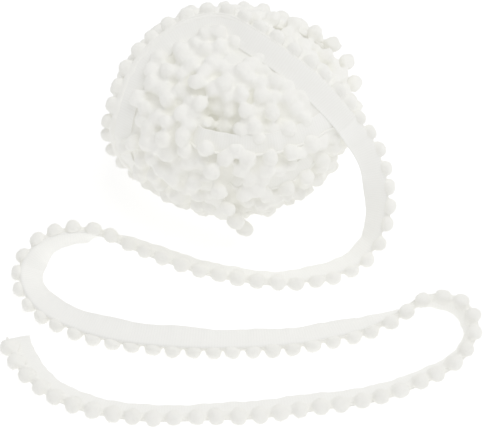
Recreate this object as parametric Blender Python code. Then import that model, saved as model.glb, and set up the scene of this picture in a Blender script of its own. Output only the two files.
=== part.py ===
"""Pompom fringe trim wound into a ball, with one loose tail lying in an S in front of it.

The trim is a ribbed heading tape. A cord runs along one of its edges and carries a soft round
pompom at every pitch. Most of its length is wound into a ball that rests on a small flat spot.
The end comes off the ball's right side, drops to the surface and lies there in an S, flat in its
long stretches and standing on its tape's free edge where it twists over.

The origin is the centre of the ball's flat spot. +X is to the right, +Y to the back, +Z up.
"""

import math
from typing import NamedTuple

import bmesh
import bpy
import numpy as np
from mathutils import Vector

COLLECTION = "pompom_fringe_trim"
MM = 0.001

# The trim. Distances across it are counted from the line through the pompoms' centres.
POMPOM_PITCH = 11.4 * MM
POMPOM_RADIUS = 4.0 * MM
POMPOM_SIDES = 6
POMPOM_RINGS = 4
CORD_NEAR = 0.8 * MM
CORD_FAR = 4.4 * MM
CORD_THICKNESS = 1.0 * MM
TAPE_NEAR = 4.75 * MM
TAPE_FAR = 14.5 * MM
TAPE_THICKNESS = 1.2 * MM

# The ball, wound round a centre above its flat spot
BALL_CENTRE = Vector((0.0, 0.0, 54.0 * MM))
CORE_HALF_WIDTH = 66.0 * MM
CORE_HALF_DEPTH = 60.0 * MM
CORE_HALF_ABOVE = 52.0 * MM
CORE_HALF_BELOW = 56.0 * MM
MEAN_RADIUS = 60.0 * MM
WOUND_TAPE_NEAR = 1.5 * MM
WOUND_TAPE_FAR = 13.5 * MM
WOUND_POMPOM_RADIUS = 4.6 * MM
WOUND_POMPOM_SEAT = 1.2 * MM
SHOULDER_RING = 0.72
FOOT_RING = 1.06
RING_SITES = 6
LOWEST_POMPOM = -60.0
POMPOM_CLOSEST = 7.5 * MM
FILL_SITES = 420
FILL_SPACING = 5.0 * MM
DETAIL_SPACING = 1.6 * MM
EDGE_STEP = 0.5 * MM
EDGE_SPACING = 9.0 * MM


class Turn(NamedTuple):
    """One outer turn of the winding, in a plane through or beside the ball's centre.

    azimuth and tilt turn the plane's normal, shift moves the turn towards it (degrees),
    start and sweep are the stretch of the turn that shows (degrees), lift_mm is how far its tape
    lies above the core, and side is +1 where the tape lies on the normal's side of the pompoms.
    """

    name: str
    azimuth: float
    tilt: float
    shift: float
    start: float
    sweep: float
    lift_mm: float
    side: int


# From the innermost to the outermost: a turn's tape hides the pompoms of the turns before it
TURNS = (
    Turn("back_foot", -12, 10, -34, -100, 200, 1.0, 1),
    Turn("front_foot", 0, 8, -40, 100, 160, 0.5, 1),
    Turn("back_middle", -8, 14, 18, -85, 170, 1.5, 1),
    Turn("back_low", 6, 8, -8, -95, 190, 1.5, -1),
    Turn("right_side", 90, 80, 14, 150, 80, 1.5, 1),
    Turn("back_top", 10, 12, 42, -90, 180, 2.0, 1),
    Turn("centre_low", 151, 33, 11, 35, 50, 1.5, -1),
    Turn("centre_high", 146, 55, 0, 30, 60, 2.0, -1),
    Turn("upper_left", 156, 54, 55, -10, 115, 2.0, -1),
    Turn("right_upper", -33, 34, 52, -50, 80, 2.5, -1),
    Turn("crown", 149, 32, 40, 45, 50, 3.0, 1),
    Turn("lower_right", -67, 51, 45, -140, 100, 1.5, 1),
    Turn("middle_right", 14, 5, 19, 130, 110, 2.5, 1),
    Turn("lower_left", 88, 29, -25, -30, 120, 1.5, 1),
    Turn("middle_left", 103, 44, -7, -20, 100, 2.5, 1),
    Turn("back_upright", 10, 78, -8, -50, 130, 3.0, 1),
    Turn("left_side", 95, 82, 12, -60, 110, 2.0, 1),
    Turn("right_back", -73, 72, 5, -16, 98, 7.0, -1),
    Turn("strand", -6, 70, 0, 112, 84, 4.0, -1),
    Turn("strand_drop", -6, 72, 0, 196, 12, 7.0, -1),
    Turn("strand_end", -6, 72, 0, 206, 14, 11.5, -1),
)


class Wrap(NamedTuple):
    """A point of the last turn's pompom line.

    azimuth and elevation are its direction from the ball's centre (degrees), lift_mm is its
    height above the core, and edge_mm the height of the tape's free edge beside it.
    """

    azimuth: float
    elevation: float
    lift_mm: float
    edge_mm: float


# The last turn lies over the others, up the left side, across the top and down to the tail
LAST_TURN = (
    Wrap(-150, -46, 3.0, 1.0),
    Wrap(-156, -32, 5.5, 2.0),
    Wrap(-160, -17, 7.5, 3.0),
    Wrap(-163, -2, 9.0, 3.5),
    Wrap(-164, 11, 9.0, 3.5),
    Wrap(-168, 22, 9.0, 3.5),
    Wrap(-178, 34, 9.5, 3.5),
    Wrap(-192, 49, 10.5, 3.5),
    Wrap(-216, 63, 11.5, 3.5),
    Wrap(-259, 75, 11.5, 4.0),
    Wrap(-352, 75, 10.5, 4.5),
    Wrap(-376, 59, 11.0, 5.0),
    Wrap(-380, 43, 12.0, 5.5),
    Wrap(-381, 28, 12.5, 6.0),
    Wrap(-380, 17, 12.8, 7.0),
)
LAST_TURN_REACH = 1.5 * MM
END_SITES = 8


class Bend(NamedTuple):
    """A point of the tail's pompom line: its place, and the roll of the tape about that line.

    At roll 0 the tape lies level to the right of the way to the loose end, at 90 it stands
    straight up from its pompoms, and at 180 it lies to the left.
    """

    x_mm: float
    y_mm: float
    z_mm: float
    roll: float


TAIL = (
    Bend(69.3, -24.9, 75.6, -38),
    Bend(76.8, -25.6, 66.2, -30),
    Bend(83.0, -33.0, 58.6, -27),
    Bend(88.5, -43.5, 46.5, -26),
    Bend(90.5, -53.5, 32.0, -24),
    Bend(87.5, -65.0, 19.0, -20),
    Bend(80.5, -74.0, 10.0, -16),
    Bend(70.5, -81.5, 5.5, -12),
    Bend(52.0, -88.5, 5.0, -15),
    Bend(27.5, -93.0, 7.0, -24),
    Bend(-10.0, -87.0, 7.5, -26),
    Bend(-42.0, -75.0, 8.0, -28),
    Bend(-63.5, -65.0, 9.5, -35),
    Bend(-73.0, -61.5, 12.5, -52),
    Bend(-83.5, -59.5, 15.5, -78),
    Bend(-94.5, -59.0, 15.5, -90),
    Bend(-107.0, -63.0, 15.5, -102),
    Bend(-117.5, -71.0, 13.0, -126),
    Bend(-124.0, -80.5, 7.0, -155),
    Bend(-122.0, -96.0, 5.0, -174),
    Bend(-111.5, -112.0, 4.3, -186),
    Bend(-94.0, -123.5, 4.0, -191),
    Bend(-68.0, -133.0, 4.0, -196),
    Bend(-34.0, -138.0, 4.0, -194),
    Bend(2.0, -139.0, 4.0, -183),
    Bend(38.0, -136.0, 4.0, -178),
    Bend(70.0, -128.5, 4.6, -167),
    Bend(85.5, -124.0, 8.5, -149),
    Bend(97.0, -118.5, 12.5, -129),
    Bend(108.5, -111.0, 15.0, -106),
    Bend(121.5, -109.5, 15.5, -92),
    Bend(131.5, -115.0, 15.5, -80),
    Bend(136.0, -127.0, 14.5, -68),
    Bend(133.0, -138.5, 13.0, -56),
    Bend(124.5, -150.5, 11.0, -44),
    Bend(108.5, -160.5, 9.0, -34),
    Bend(81.5, -172.5, 7.5, -26),
    Bend(48.0, -178.5, 6.6, -22),
    Bend(14.0, -183.5, 5.8, -19),
    Bend(-9.0, -185.0, 7.0, -24),
    Bend(-44.0, -186.0, 7.0, -25),
    Bend(-71.5, -182.0, 7.0, -24),
    Bend(-89.5, -176.0, 7.0, -24),
    Bend(-104.0, -167.0, 6.5, -22),
    Bend(-118.0, -152.5, 5.8, -19),
    Bend(-125.5, -138.0, 4.9, -15),
    Bend(-128.0, -129.5, 4.5, -13),
)
CURVE_STEPS = 16
SECTIONS_PER_PITCH = 2
FRINGES = 16
FRINGE_GAP = 0.5 * MM
FIRST_POMPOM = 3.0 * MM
BARE_END = 8.0 * MM
EDGE_WAVE = 0.5 * MM
EDGE_WAVE_LENGTH = 43.0 * MM


class Finish(NamedTuple):
    """The colour and surface of one kind of yarn."""

    name: str
    colour: tuple
    roughness: float


WOUND_YARN = Finish("wound_yarn", (0.86, 0.86, 0.84, 1.0), 0.95)
TAPE_YARN = Finish("tape_yarn", (0.88, 0.88, 0.86, 1.0), 0.9)
POMPOM_YARN = Finish("pompom_yarn", (0.9, 0.9, 0.88, 1.0), 0.97)


def make_material(finish):
    """A plain Principled material of a finish."""
    material = bpy.data.materials.new(finish.name)
    material.use_nodes = True
    shader = material.node_tree.nodes["Principled BSDF"]
    shader.inputs["Base Color"].default_value = finish.colour
    shader.inputs["Roughness"].default_value = finish.roughness
    shader.inputs["Metallic"].default_value = 0.0
    return material


def add_object(name, bm, finish, collection):
    """Makes a smooth-shaded object of a bmesh, with a material of its own."""
    mesh = bpy.data.meshes.new(name)
    bm.to_mesh(mesh)
    bm.free()
    mesh.materials.append(make_material(finish))
    mesh.shade_smooth()
    thing = bpy.data.objects.new(name, mesh)
    collection.objects.link(thing)
    return thing


# ---- The wound ball ----------------------------------------------------------------------------


def catmull_rom(knots):
    """A smooth curve through rows of numbers, CURVE_STEPS rows for each two of them."""
    ends = (2.0 * knots[0] - knots[1], 2.0 * knots[-1] - knots[-2])
    padded = np.vstack((ends[0], knots, ends[1]))
    line = []
    for index in range(1, len(padded) - 2):
        before, start, end, after = padded[index - 1 : index + 3]
        for step in range(CURVE_STEPS):
            t = step / CURVE_STEPS
            line.append(
                0.5
                * (
                    2.0 * start
                    + (end - before) * t
                    + (2.0 * before - 5.0 * start + 4.0 * end - after) * t**2
                    + (3.0 * start - before - 3.0 * end + after) * t**3
                )
            )
    return np.vstack((line, padded[-2]))


class LastTurn:
    """The last turn's pompom line: directions from the ball's centre, and heights."""

    def __init__(self, wraps):
        rows = []
        for wrap in wraps:
            azimuth, elevation = math.radians(wrap.azimuth), math.radians(wrap.elevation)
            level = math.cos(elevation)
            spot = (math.cos(azimuth) * level, math.sin(azimuth) * level, math.sin(elevation))
            rows.append((*spot, wrap.lift_mm * MM, wrap.edge_mm * MM))
        line = catmull_rom(np.array(rows))
        self.spots = line[:, :3] / np.linalg.norm(line[:, :3], axis=1, keepdims=True)
        self.lifts = line[:, 3]
        self.edges = line[:, 4]
        across = np.cross(np.gradient(self.spots, axis=0), self.spots)
        self.across = across / np.linalg.norm(across, axis=1, keepdims=True)
        self.along = np.cross(self.spots, self.across)
        steps = np.linalg.norm(np.diff(self.spots, axis=0), axis=1) * MEAN_RADIUS
        self.reached = np.concatenate(((0.0,), np.cumsum(steps)))

    def rows(self, spacing):
        """Rows of the line about spacing apart, counted back from its upper end."""
        distances = np.arange(self.reached[-1] - 0.5 * spacing, 0.0, -spacing)
        return np.searchsorted(self.reached, distances)

    def beside(self, rows, offset):
        """Directions moved across the turn by offset from rows of its line."""
        turned = offset / MEAN_RADIUS
        return self.spots[rows] * math.cos(turned) + self.across[rows] * math.sin(turned)

    def past_end(self, distance, offset):
        """A direction beyond the line's upper end by distance, and across it by offset."""
        moved = self.along[-1] * distance + self.across[-1] * offset
        spot = self.spots[-1] + moved / MEAN_RADIUS
        return spot / np.linalg.norm(spot)

    def tape_lift(self, directions):
        """The tape's height above the core where it lies, and 0 elsewhere."""
        nearest = np.argmax(directions @ self.spots.T, axis=1)
        offset = np.sum(directions * self.across[nearest], axis=1) * MEAN_RADIUS
        past = np.abs(np.sum(directions * self.along[nearest], axis=1)) * MEAN_RADIUS
        share = (offset - WOUND_TAPE_NEAR) / (WOUND_TAPE_FAR - WOUND_TAPE_NEAR)
        lift = self.lifts[nearest] + (self.edges[nearest] - self.lifts[nearest]) * share
        near = np.sum(directions * self.spots[nearest], axis=1) > 0.0
        on_tape = near & (past < LAST_TURN_REACH) & (share > 0.0) & (share < 1.0)
        return np.where(on_tape, lift, 0.0)


def turn_axes(turn):
    """The turn's normal, and the two directions in its plane that its angle is counted from."""
    azimuth = math.radians(turn.azimuth)
    tilt = math.radians(turn.tilt)
    level = math.sin(tilt)
    normal = np.array((math.cos(azimuth) * level, math.sin(azimuth) * level, math.cos(tilt)))
    across = np.array((-math.sin(azimuth), math.cos(azimuth), 0.0))
    return normal, across, np.cross(normal, across)


def turn_directions(turn, angles, offset):
    """Directions from the ball's centre to points of a turn, moved sideways by offset."""
    normal, across, along = turn_axes(turn)
    latitude = math.radians(turn.shift) + turn.side * offset / MEAN_RADIUS
    turned = np.radians(np.asarray(angles, float))[:, None]
    ring = np.cos(turned) * across + np.sin(turned) * along
    return ring * math.cos(latitude) + normal * math.sin(latitude)


def spread_over(turn, spacing):
    """Angles along a turn that are about spacing apart."""
    length = math.radians(turn.sweep) * MEAN_RADIUS * math.cos(math.radians(turn.shift))
    count = max(int(length / spacing), 1)
    return turn.start + turn.sweep * (np.arange(count) + 0.5) / count


def wound_pompoms(last_turn):
    """The direction and the height of every pompom that no outer tape or pompom hides."""
    lowest = math.sin(math.radians(LOWEST_POMPOM))
    rows = last_turn.rows(POMPOM_PITCH)
    directions = last_turn.spots[rows]
    lifts = list(last_turn.lifts[rows])
    for index in range(len(TURNS) - 1, -1, -1):
        turn = TURNS[index]
        row = turn_directions(turn, spread_over(turn, POMPOM_PITCH), 0.0)
        hidden = last_turn.tape_lift(row) > 0.0
        for outer in TURNS[index + 1 :]:
            hidden |= tape_lift(outer, row) > 0.0
        for direction in row[(row[:, 2] > lowest) & ~hidden]:
            apart = np.linalg.norm(directions - direction, axis=1) * MEAN_RADIUS
            if apart.min() > POMPOM_CLOSEST:
                directions = np.vstack((directions, direction))
                lifts.append(turn.lift_mm * MM + WOUND_POMPOM_SEAT)
    return directions, np.array(lifts)


def core_radius(directions):
    """How far the core's surface is from the centre: its lower half is deeper than its upper."""
    half_height = np.where(directions[:, 2] > 0.0, CORE_HALF_ABOVE, CORE_HALF_BELOW)
    halves = np.column_stack(
        (
            np.full(len(directions), CORE_HALF_WIDTH),
            np.full(len(directions), CORE_HALF_DEPTH),
            half_height,
        )
    )
    return 1.0 / np.linalg.norm(directions / halves, axis=1)


def tape_lift(turn, directions):
    """The turn's lift where its tape lies, and 0 elsewhere."""
    normal, across, along = turn_axes(turn)
    latitude = np.arcsin(np.clip(directions @ normal, -1.0, 1.0))
    offset = (latitude - math.radians(turn.shift)) * turn.side * MEAN_RADIUS
    turned = np.degrees(np.arctan2(directions @ along, directions @ across))
    shown = (turned - turn.start) % 360.0 <= turn.sweep
    on_tape = shown & (offset > WOUND_TAPE_NEAR) & (offset < WOUND_TAPE_FAR)
    return np.where(on_tape, turn.lift_mm * MM, 0.0)


def wound_lift(directions, last_turn, pompoms, lifts):
    """The height of the outermost tape or pompom above the core in each direction."""
    height = last_turn.tape_lift(directions)
    for turn in TURNS:
        height = np.maximum(height, tape_lift(turn, directions))
    aside = np.arccos(np.clip(directions @ pompoms.T, -1.0, 1.0)) * MEAN_RADIUS
    dome = np.sqrt(np.maximum(WOUND_POMPOM_RADIUS**2 - aside**2, 0.0))
    tops = np.where(dome > 0.0, lifts[None, :] + dome, 0.0)
    return np.maximum(height, tops.max(axis=1))


def ring_round(direction, radius, count, turned):
    """Directions on a small ring round one direction."""
    axis = Vector(direction)
    side = axis.orthogonal().normalized()
    other = axis.cross(side)
    reach = radius / MEAN_RADIUS
    ring = []
    for index in range(count):
        angle = 2.0 * math.pi * (index + turned) / count
        ring.append(axis + (side * math.cos(angle) + other * math.sin(angle)) * reach)
    return [point.normalized() for point in ring]


def fill_directions(count):
    """Directions spread evenly over the whole ball in a spiral."""
    golden = math.pi * (3.0 - math.sqrt(5.0))
    spots = []
    for index in range(count):
        height = 1.0 - 2.0 * (index + 0.5) / count
        level = math.sqrt(1.0 - height * height)
        spots.append((level * math.cos(golden * index), level * math.sin(golden * index), height))
    return spots


def ball_sites(last_turn, pompoms, lifts):
    """Directions where the ball's surface needs a point, the important ones first."""
    tops = wound_lift(pompoms, last_turn, pompoms, lifts)
    shown = pompoms[tops - lifts - WOUND_POMPOM_RADIUS < EDGE_STEP]
    wanted = [(tuple(top), DETAIL_SPACING) for top in shown]
    for top in shown:
        for ring, turned in ((SHOULDER_RING, 0.0), (FOOT_RING, 0.5)):
            around = ring_round(top, WOUND_POMPOM_RADIUS * ring, RING_SITES, turned)
            wanted.extend((tuple(spot), DETAIL_SPACING) for spot in around)
    for turn in TURNS:
        angles = spread_over(turn, EDGE_SPACING)
        for edge in (WOUND_TAPE_FAR, WOUND_TAPE_NEAR):
            for step in (-EDGE_STEP, EDGE_STEP):
                line = turn_directions(turn, angles, edge + step)
                wanted.extend((tuple(spot), EDGE_STEP) for spot in line)
    for edge in (WOUND_TAPE_FAR, WOUND_TAPE_NEAR):
        for step in (-EDGE_STEP, EDGE_STEP):
            line = last_turn.beside(last_turn.rows(EDGE_SPACING), edge + step)
            wanted.extend((tuple(spot), EDGE_STEP) for spot in line)
    for offset in np.linspace(-WOUND_POMPOM_RADIUS, WOUND_TAPE_FAR, END_SITES):
        for step in (-EDGE_STEP, EDGE_STEP):
            spot = last_turn.past_end(LAST_TURN_REACH + step, offset)
            wanted.append((tuple(spot), EDGE_STEP))
    wanted.extend((spot, FILL_SPACING) for spot in fill_directions(FILL_SITES))

    kept = np.zeros((0, 3))
    for spot, spacing in wanted:
        if len(kept) == 0 or np.linalg.norm(kept - spot, axis=1).min() > spacing / MEAN_RADIUS:
            kept = np.vstack((kept, spot))
    return kept


def make_ball(collection):
    """The wound ball: one closed skin stretched over its sites and flattened where it rests."""
    last_turn = LastTurn(LAST_TURN)
    pompoms, lifts = wound_pompoms(last_turn)
    sites = ball_sites(last_turn, pompoms, lifts)
    radii = core_radius(sites) + wound_lift(sites, last_turn, pompoms, lifts)
    bm = bmesh.new()
    for site in sites:
        bm.verts.new(site)
    bm.verts.ensure_lookup_table()
    for index, vert in enumerate(bm.verts):
        vert.index = index
    bmesh.ops.convex_hull(bm, input=bm.verts[:])
    bmesh.ops.triangulate(bm, faces=bm.faces[:])
    for vert in bm.verts:
        direction = vert.co.normalized()
        radius = radii[vert.index]
        if BALL_CENTRE.z + direction.z * radius < 0.0:
            radius = BALL_CENTRE.z / -direction.z
            vert.co = BALL_CENTRE + direction * radius
            vert.co.z = 0.0
        else:
            vert.co = BALL_CENTRE + direction * radius
    bmesh.ops.recalc_face_normals(bm, faces=bm.faces[:])
    return add_object("ball", bm, WOUND_YARN, collection)


# ---- The loose tail ----------------------------------------------------------------------------


def smooth_line(bends):
    """A Catmull-Rom curve through the bends, as rows of x, y, z in metres and roll in degrees.

    It stays one pompom's radius above the surface, so the pompoms rest on it.
    """
    line = catmull_rom(
        np.array([(b.x_mm * MM, b.y_mm * MM, b.z_mm * MM, b.roll) for b in bends])
    )
    line[:, 2] = np.maximum(line[:, 2], POMPOM_RADIUS)
    return line


class Tail:
    """The tail's pompom line, read at any distance from where it leaves the ball."""

    def __init__(self, bends):
        self.line = smooth_line(bends)
        steps = np.linalg.norm(np.diff(self.line[:, :3], axis=0), axis=1)
        self.reached = np.concatenate(((0.0,), np.cumsum(steps)))
        self.length = float(self.reached[-1])

    def row(self, distance):
        """The x, y, z and roll at a distance."""
        return np.array([np.interp(distance, self.reached, column) for column in self.line.T])

    def place(self, distance):
        """The point at a distance, the direction across the tape, and the tape's normal."""
        reach = 0.25 * POMPOM_PITCH
        ahead = self.row(min(distance + reach, self.length))
        behind = self.row(max(distance - reach, 0.0))
        here = self.row(distance)
        along = Vector(ahead[:3] - behind[:3]).normalized()
        right = along.cross(Vector((0.0, 0.0, 1.0))).normalized()
        upward = right.cross(along)
        roll = math.radians(here[3])
        across = right * math.cos(roll) + upward * math.sin(roll)
        return Vector(here[:3]), across, along.cross(across)


def sweep_band(tail, distances, near, far_at, thickness):
    """A flat band along the tail, from near to far_at(distance) across it, as a closed bmesh."""
    bm = bmesh.new()
    loops = []
    for distance in distances:
        centre, across, normal = tail.place(distance)
        corners = []
        for width, side in ((near, -1), (far_at(distance), -1), (far_at(distance), 1), (near, 1)):
            corners.append(bm.verts.new(centre + across * width + normal * (side * thickness / 2)))
        loops.append(corners)
    for first, second in zip(loops, loops[1:]):
        for index in range(4):
            after = (index + 1) % 4
            bm.faces.new((first[index], first[after], second[after], second[index]))
    bm.faces.new(loops[0][::-1])
    bm.faces.new(loops[-1])
    bmesh.ops.triangulate(bm, faces=bm.faces[:])
    bmesh.ops.recalc_face_normals(bm, faces=bm.faces[:])
    return bm


def tape_edge(distance):
    """The tape's free edge, a little uneven along its length."""
    return TAPE_FAR + EDGE_WAVE * math.sin(2.0 * math.pi * distance / EDGE_WAVE_LENGTH)


def make_tail_tape(tail, collection):
    """The heading tape of the tail: one thin sheet that follows the S and its rolls."""
    count = int(tail.length / POMPOM_PITCH) * SECTIONS_PER_PITCH
    distances = np.linspace(0.0, tail.length, count + 1)
    bm = sweep_band(tail, distances, TAPE_NEAR, tape_edge, TAPE_THICKNESS)
    return add_object("tail_tape", bm, TAPE_YARN, collection)


def add_pompom(bm, centre):
    """A round pompom whose lowest point is one radius under its centre."""
    made = bmesh.ops.create_uvsphere(
        bm, u_segments=POMPOM_SIDES, v_segments=POMPOM_RINGS, radius=POMPOM_RADIUS
    )
    bmesh.ops.translate(bm, verts=made["verts"], vec=centre)


def make_fringe(tail, name, pompom_distances, start, end, collection, tools):
    """One stretch of the edge cord with its pompoms fused to it."""
    distances = np.linspace(start, end, len(pompom_distances) * SECTIONS_PER_PITCH + 1)
    cord = sweep_band(tail, distances, CORD_NEAR, lambda _: CORD_FAR, CORD_THICKNESS)
    fringe = add_object(name, cord, POMPOM_YARN, collection)
    balls = bmesh.new()
    for distance in pompom_distances:
        centre, _, _ = tail.place(distance)
        add_pompom(balls, centre)
    cutter = add_object(name + "_pompoms", balls, POMPOM_YARN, tools)
    cutter.hide_render = True
    cutter.display_type = "WIRE"
    union = fringe.modifiers.new("fuse", "BOOLEAN")
    union.operation = "UNION"
    union.solver = "EXACT"
    union.object = cutter
    return fringe


def make_tail_fringes(tail, collection, tools):
    """The edge cord in short stretches, each with its own few pompoms."""
    places = np.arange(FIRST_POMPOM, tail.length - BARE_END, POMPOM_PITCH)
    half = 0.5 * (POMPOM_PITCH - FRINGE_GAP)
    for number, group in enumerate(np.array_split(places, FRINGES), start=1):
        start = max(group[0] - half, 0.0)
        end = min(group[-1] + half, tail.length)
        make_fringe(tail, f"tail_fringe_{number:02d}", group, start, end, collection, tools)


def main():
    """Clears the scene and builds the ball and its tail."""
    for thing in list(bpy.data.objects):
        bpy.data.objects.remove(thing)
    collection = bpy.data.collections.new(COLLECTION)
    tools = bpy.data.collections.new("cutters")
    for group in (collection, tools):
        bpy.context.scene.collection.children.link(group)
    tail = Tail(TAIL)
    make_ball(collection)
    make_tail_tape(tail, collection)
    make_tail_fringes(tail, collection, tools)


main()
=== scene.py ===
"""Looks of the pompom fringe trim: the wound ball, and the loose tail that lies in an S.

The trim is a ribbed heading tape with a twisted cord along one edge, and the cord carries a soft
pompom at every pitch. Distances across the trim are counted from the line through the pompoms'
centres. Everything is in metres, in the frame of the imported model, and rests on the floor at 0.
"""

import logging
import math
import random
from dataclasses import dataclass
from enum import Enum
from functools import cache
from typing import Callable, NamedTuple, Sequence

import bmesh
import bpy
import numpy as np
from mathutils import Matrix, Vector
from mathutils.kdtree import KDTree


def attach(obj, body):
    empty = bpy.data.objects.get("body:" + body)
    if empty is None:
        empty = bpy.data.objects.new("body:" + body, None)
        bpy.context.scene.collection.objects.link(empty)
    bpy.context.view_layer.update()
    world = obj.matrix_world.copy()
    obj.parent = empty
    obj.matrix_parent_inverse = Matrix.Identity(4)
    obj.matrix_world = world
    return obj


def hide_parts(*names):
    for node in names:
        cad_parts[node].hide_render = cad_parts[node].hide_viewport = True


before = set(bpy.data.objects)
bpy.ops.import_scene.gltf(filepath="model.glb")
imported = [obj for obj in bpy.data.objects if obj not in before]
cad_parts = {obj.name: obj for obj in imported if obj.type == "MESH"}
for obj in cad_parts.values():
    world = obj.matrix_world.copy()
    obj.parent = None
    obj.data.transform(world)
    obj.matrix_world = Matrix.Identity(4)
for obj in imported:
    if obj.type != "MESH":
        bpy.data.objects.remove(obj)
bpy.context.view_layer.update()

LOG = logging.getLogger("pompom_fringe_trim")
MM = 0.001
BODY = "root"

# Names for the material slots, which the dressings carry but do not use
WOUND_SLOT = "wound_trim"
TAPE_SLOT = "heading_tape"
TUFT_SLOT = "pompom_yarn"

# The angle that spreads points evenly round a ball, in radians
GOLDEN_ANGLE = math.pi * (3.0 - math.sqrt(5.0))

# The seeds of the random draws, and how many kinds of pompom on each next one is
RIPPLE_SEED = 3
TRIM_SEED = 5
FILL_SEED = 11
BALL_SEED = 23
PEEP_SEED = 31
LEAN_SEEDS = 100
KIND_STRIDE = 5

# The waves that an uneven wave is the sum of, by how much shorter and lower each is, and about
# how high they reach together
WAVE_RATIOS = (1.0, 1.7, 2.9)
WAVE_REACH = 1.6

# The trim, at the sizes of its solids
POMPOM_PITCH = 11.4 * MM
POMPOM_RADIUS = 4.0 * MM
TAPE_FAR = 14.5 * MM

# The ball and its winding, at the sizes of its solid
BALL_CENTRE = np.array((0.0, 0.0, 54.0 * MM))
CORE_HALF_WIDTH = 66.0 * MM
CORE_HALF_DEPTH = 60.0 * MM
CORE_HALF_ABOVE = 52.0 * MM
CORE_HALF_BELOW = 56.0 * MM
MEAN_RADIUS = 60.0 * MM
WOUND_TAPE_NEAR = 1.5 * MM
WOUND_TAPE_FAR = 13.5 * MM


class Side(Enum):
    """The side of a turn's pompom line that its tape lies on, along the turn's normal."""

    TOWARDS = 1
    AWAY = -1


class Turn(NamedTuple):
    """One turn of the winding, in a plane through or beside the ball's centre.

    azimuth and tilt turn the plane's normal, shift moves the turn towards it (degrees). The
    turn runs from start through sweep degrees, and lifts off the core from lift_mm to end_mm.
    """

    name: str
    azimuth: float
    tilt: float
    shift: float
    start: float
    sweep: float
    lift_mm: float
    end_mm: float
    side: Side


UP, DOWN = Side.TOWARDS, Side.AWAY
TURNS = (
    Turn("back_foot", -12, 10, -34, -100, 200, 1.0, 1.0, UP),
    Turn("front_foot", 0, 8, -40, 100, 160, 0.5, 0.5, UP),
    Turn("back_middle", -8, 14, 18, -85, 170, 1.5, 1.5, UP),
    Turn("back_low", 6, 8, -8, -95, 190, 1.5, 1.5, DOWN),
    Turn("right_side", 90, 80, 14, 150, 80, 1.5, 1.5, UP),
    Turn("back_top", 10, 12, 42, -90, 180, 2.0, 2.0, UP),
    Turn("centre_low", 151, 33, 11, 35, 50, 1.5, 1.5, DOWN),
    Turn("centre_high", 146, 55, 0, 30, 60, 2.0, 2.0, DOWN),
    Turn("upper_left", 156, 54, 55, -10, 115, 2.0, 2.0, DOWN),
    Turn("right_upper", -33, 34, 52, -50, 80, 2.5, 2.5, DOWN),
    Turn("crown", 149, 32, 40, 45, 50, 3.0, 3.0, UP),
    Turn("lower_right", -67, 51, 45, -140, 100, 1.5, 1.5, UP),
    Turn("middle_right", 14, 5, 19, 130, 110, 2.5, 2.5, UP),
    Turn("lower_left", 88, 29, -25, -30, 120, 1.5, 1.5, UP),
    Turn("middle_left", 103, 44, -7, -20, 100, 2.5, 2.5, UP),
    Turn("back_upright", 10, 78, -8, -50, 130, 3.0, 3.0, UP),
    Turn("left_side", 95, 82, 12, -60, 110, 2.0, 2.0, UP),
    Turn("right_back", -73, 72, 5, -16, 98, 7.0, 7.0, DOWN),
    Turn("strand", -6, 71, 0, 112, 108, 4.0, 11.5, DOWN),
)

# The turns whose tape shows bare, and the turn whose far end hangs loose
BARE_TAPE = ("crown", "middle_right", "lower_right")
HANGING = "strand"


class Wrap(NamedTuple):
    """A point of the last turn's pompom line: its direction from the ball's centre in degrees,
    its height above the core, and the height of the tape's free edge beside it.
    """

    azimuth: float
    elevation: float
    lift_mm: float
    edge_mm: float


LAST_TURN = (
    Wrap(-150, -46, 3.0, 1.0),
    Wrap(-156, -32, 5.5, 2.0),
    Wrap(-160, -17, 7.5, 3.0),
    Wrap(-163, -2, 9.0, 3.5),
    Wrap(-164, 11, 9.0, 3.5),
    Wrap(-168, 22, 9.0, 3.5),
    Wrap(-178, 34, 9.5, 3.5),
    Wrap(-192, 49, 10.5, 3.5),
    Wrap(-216, 63, 11.5, 3.5),
    Wrap(-259, 75, 11.5, 4.0),
    Wrap(-352, 75, 10.5, 4.5),
    Wrap(-376, 59, 11.0, 5.0),
    Wrap(-380, 43, 12.0, 5.5),
    Wrap(-381, 28, 12.5, 6.0),
    Wrap(-380, 17, 12.8, 7.0),
)


class Bend(NamedTuple):
    """A point of the tail's pompom line, with the tape's roll about it in degrees.

    Roll 0 lays the tape level to the right of the way along, and -90 stands it on its free edge
    with the pompoms on top.
    """

    x_mm: float
    y_mm: float
    z_mm: float
    roll: float


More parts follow.
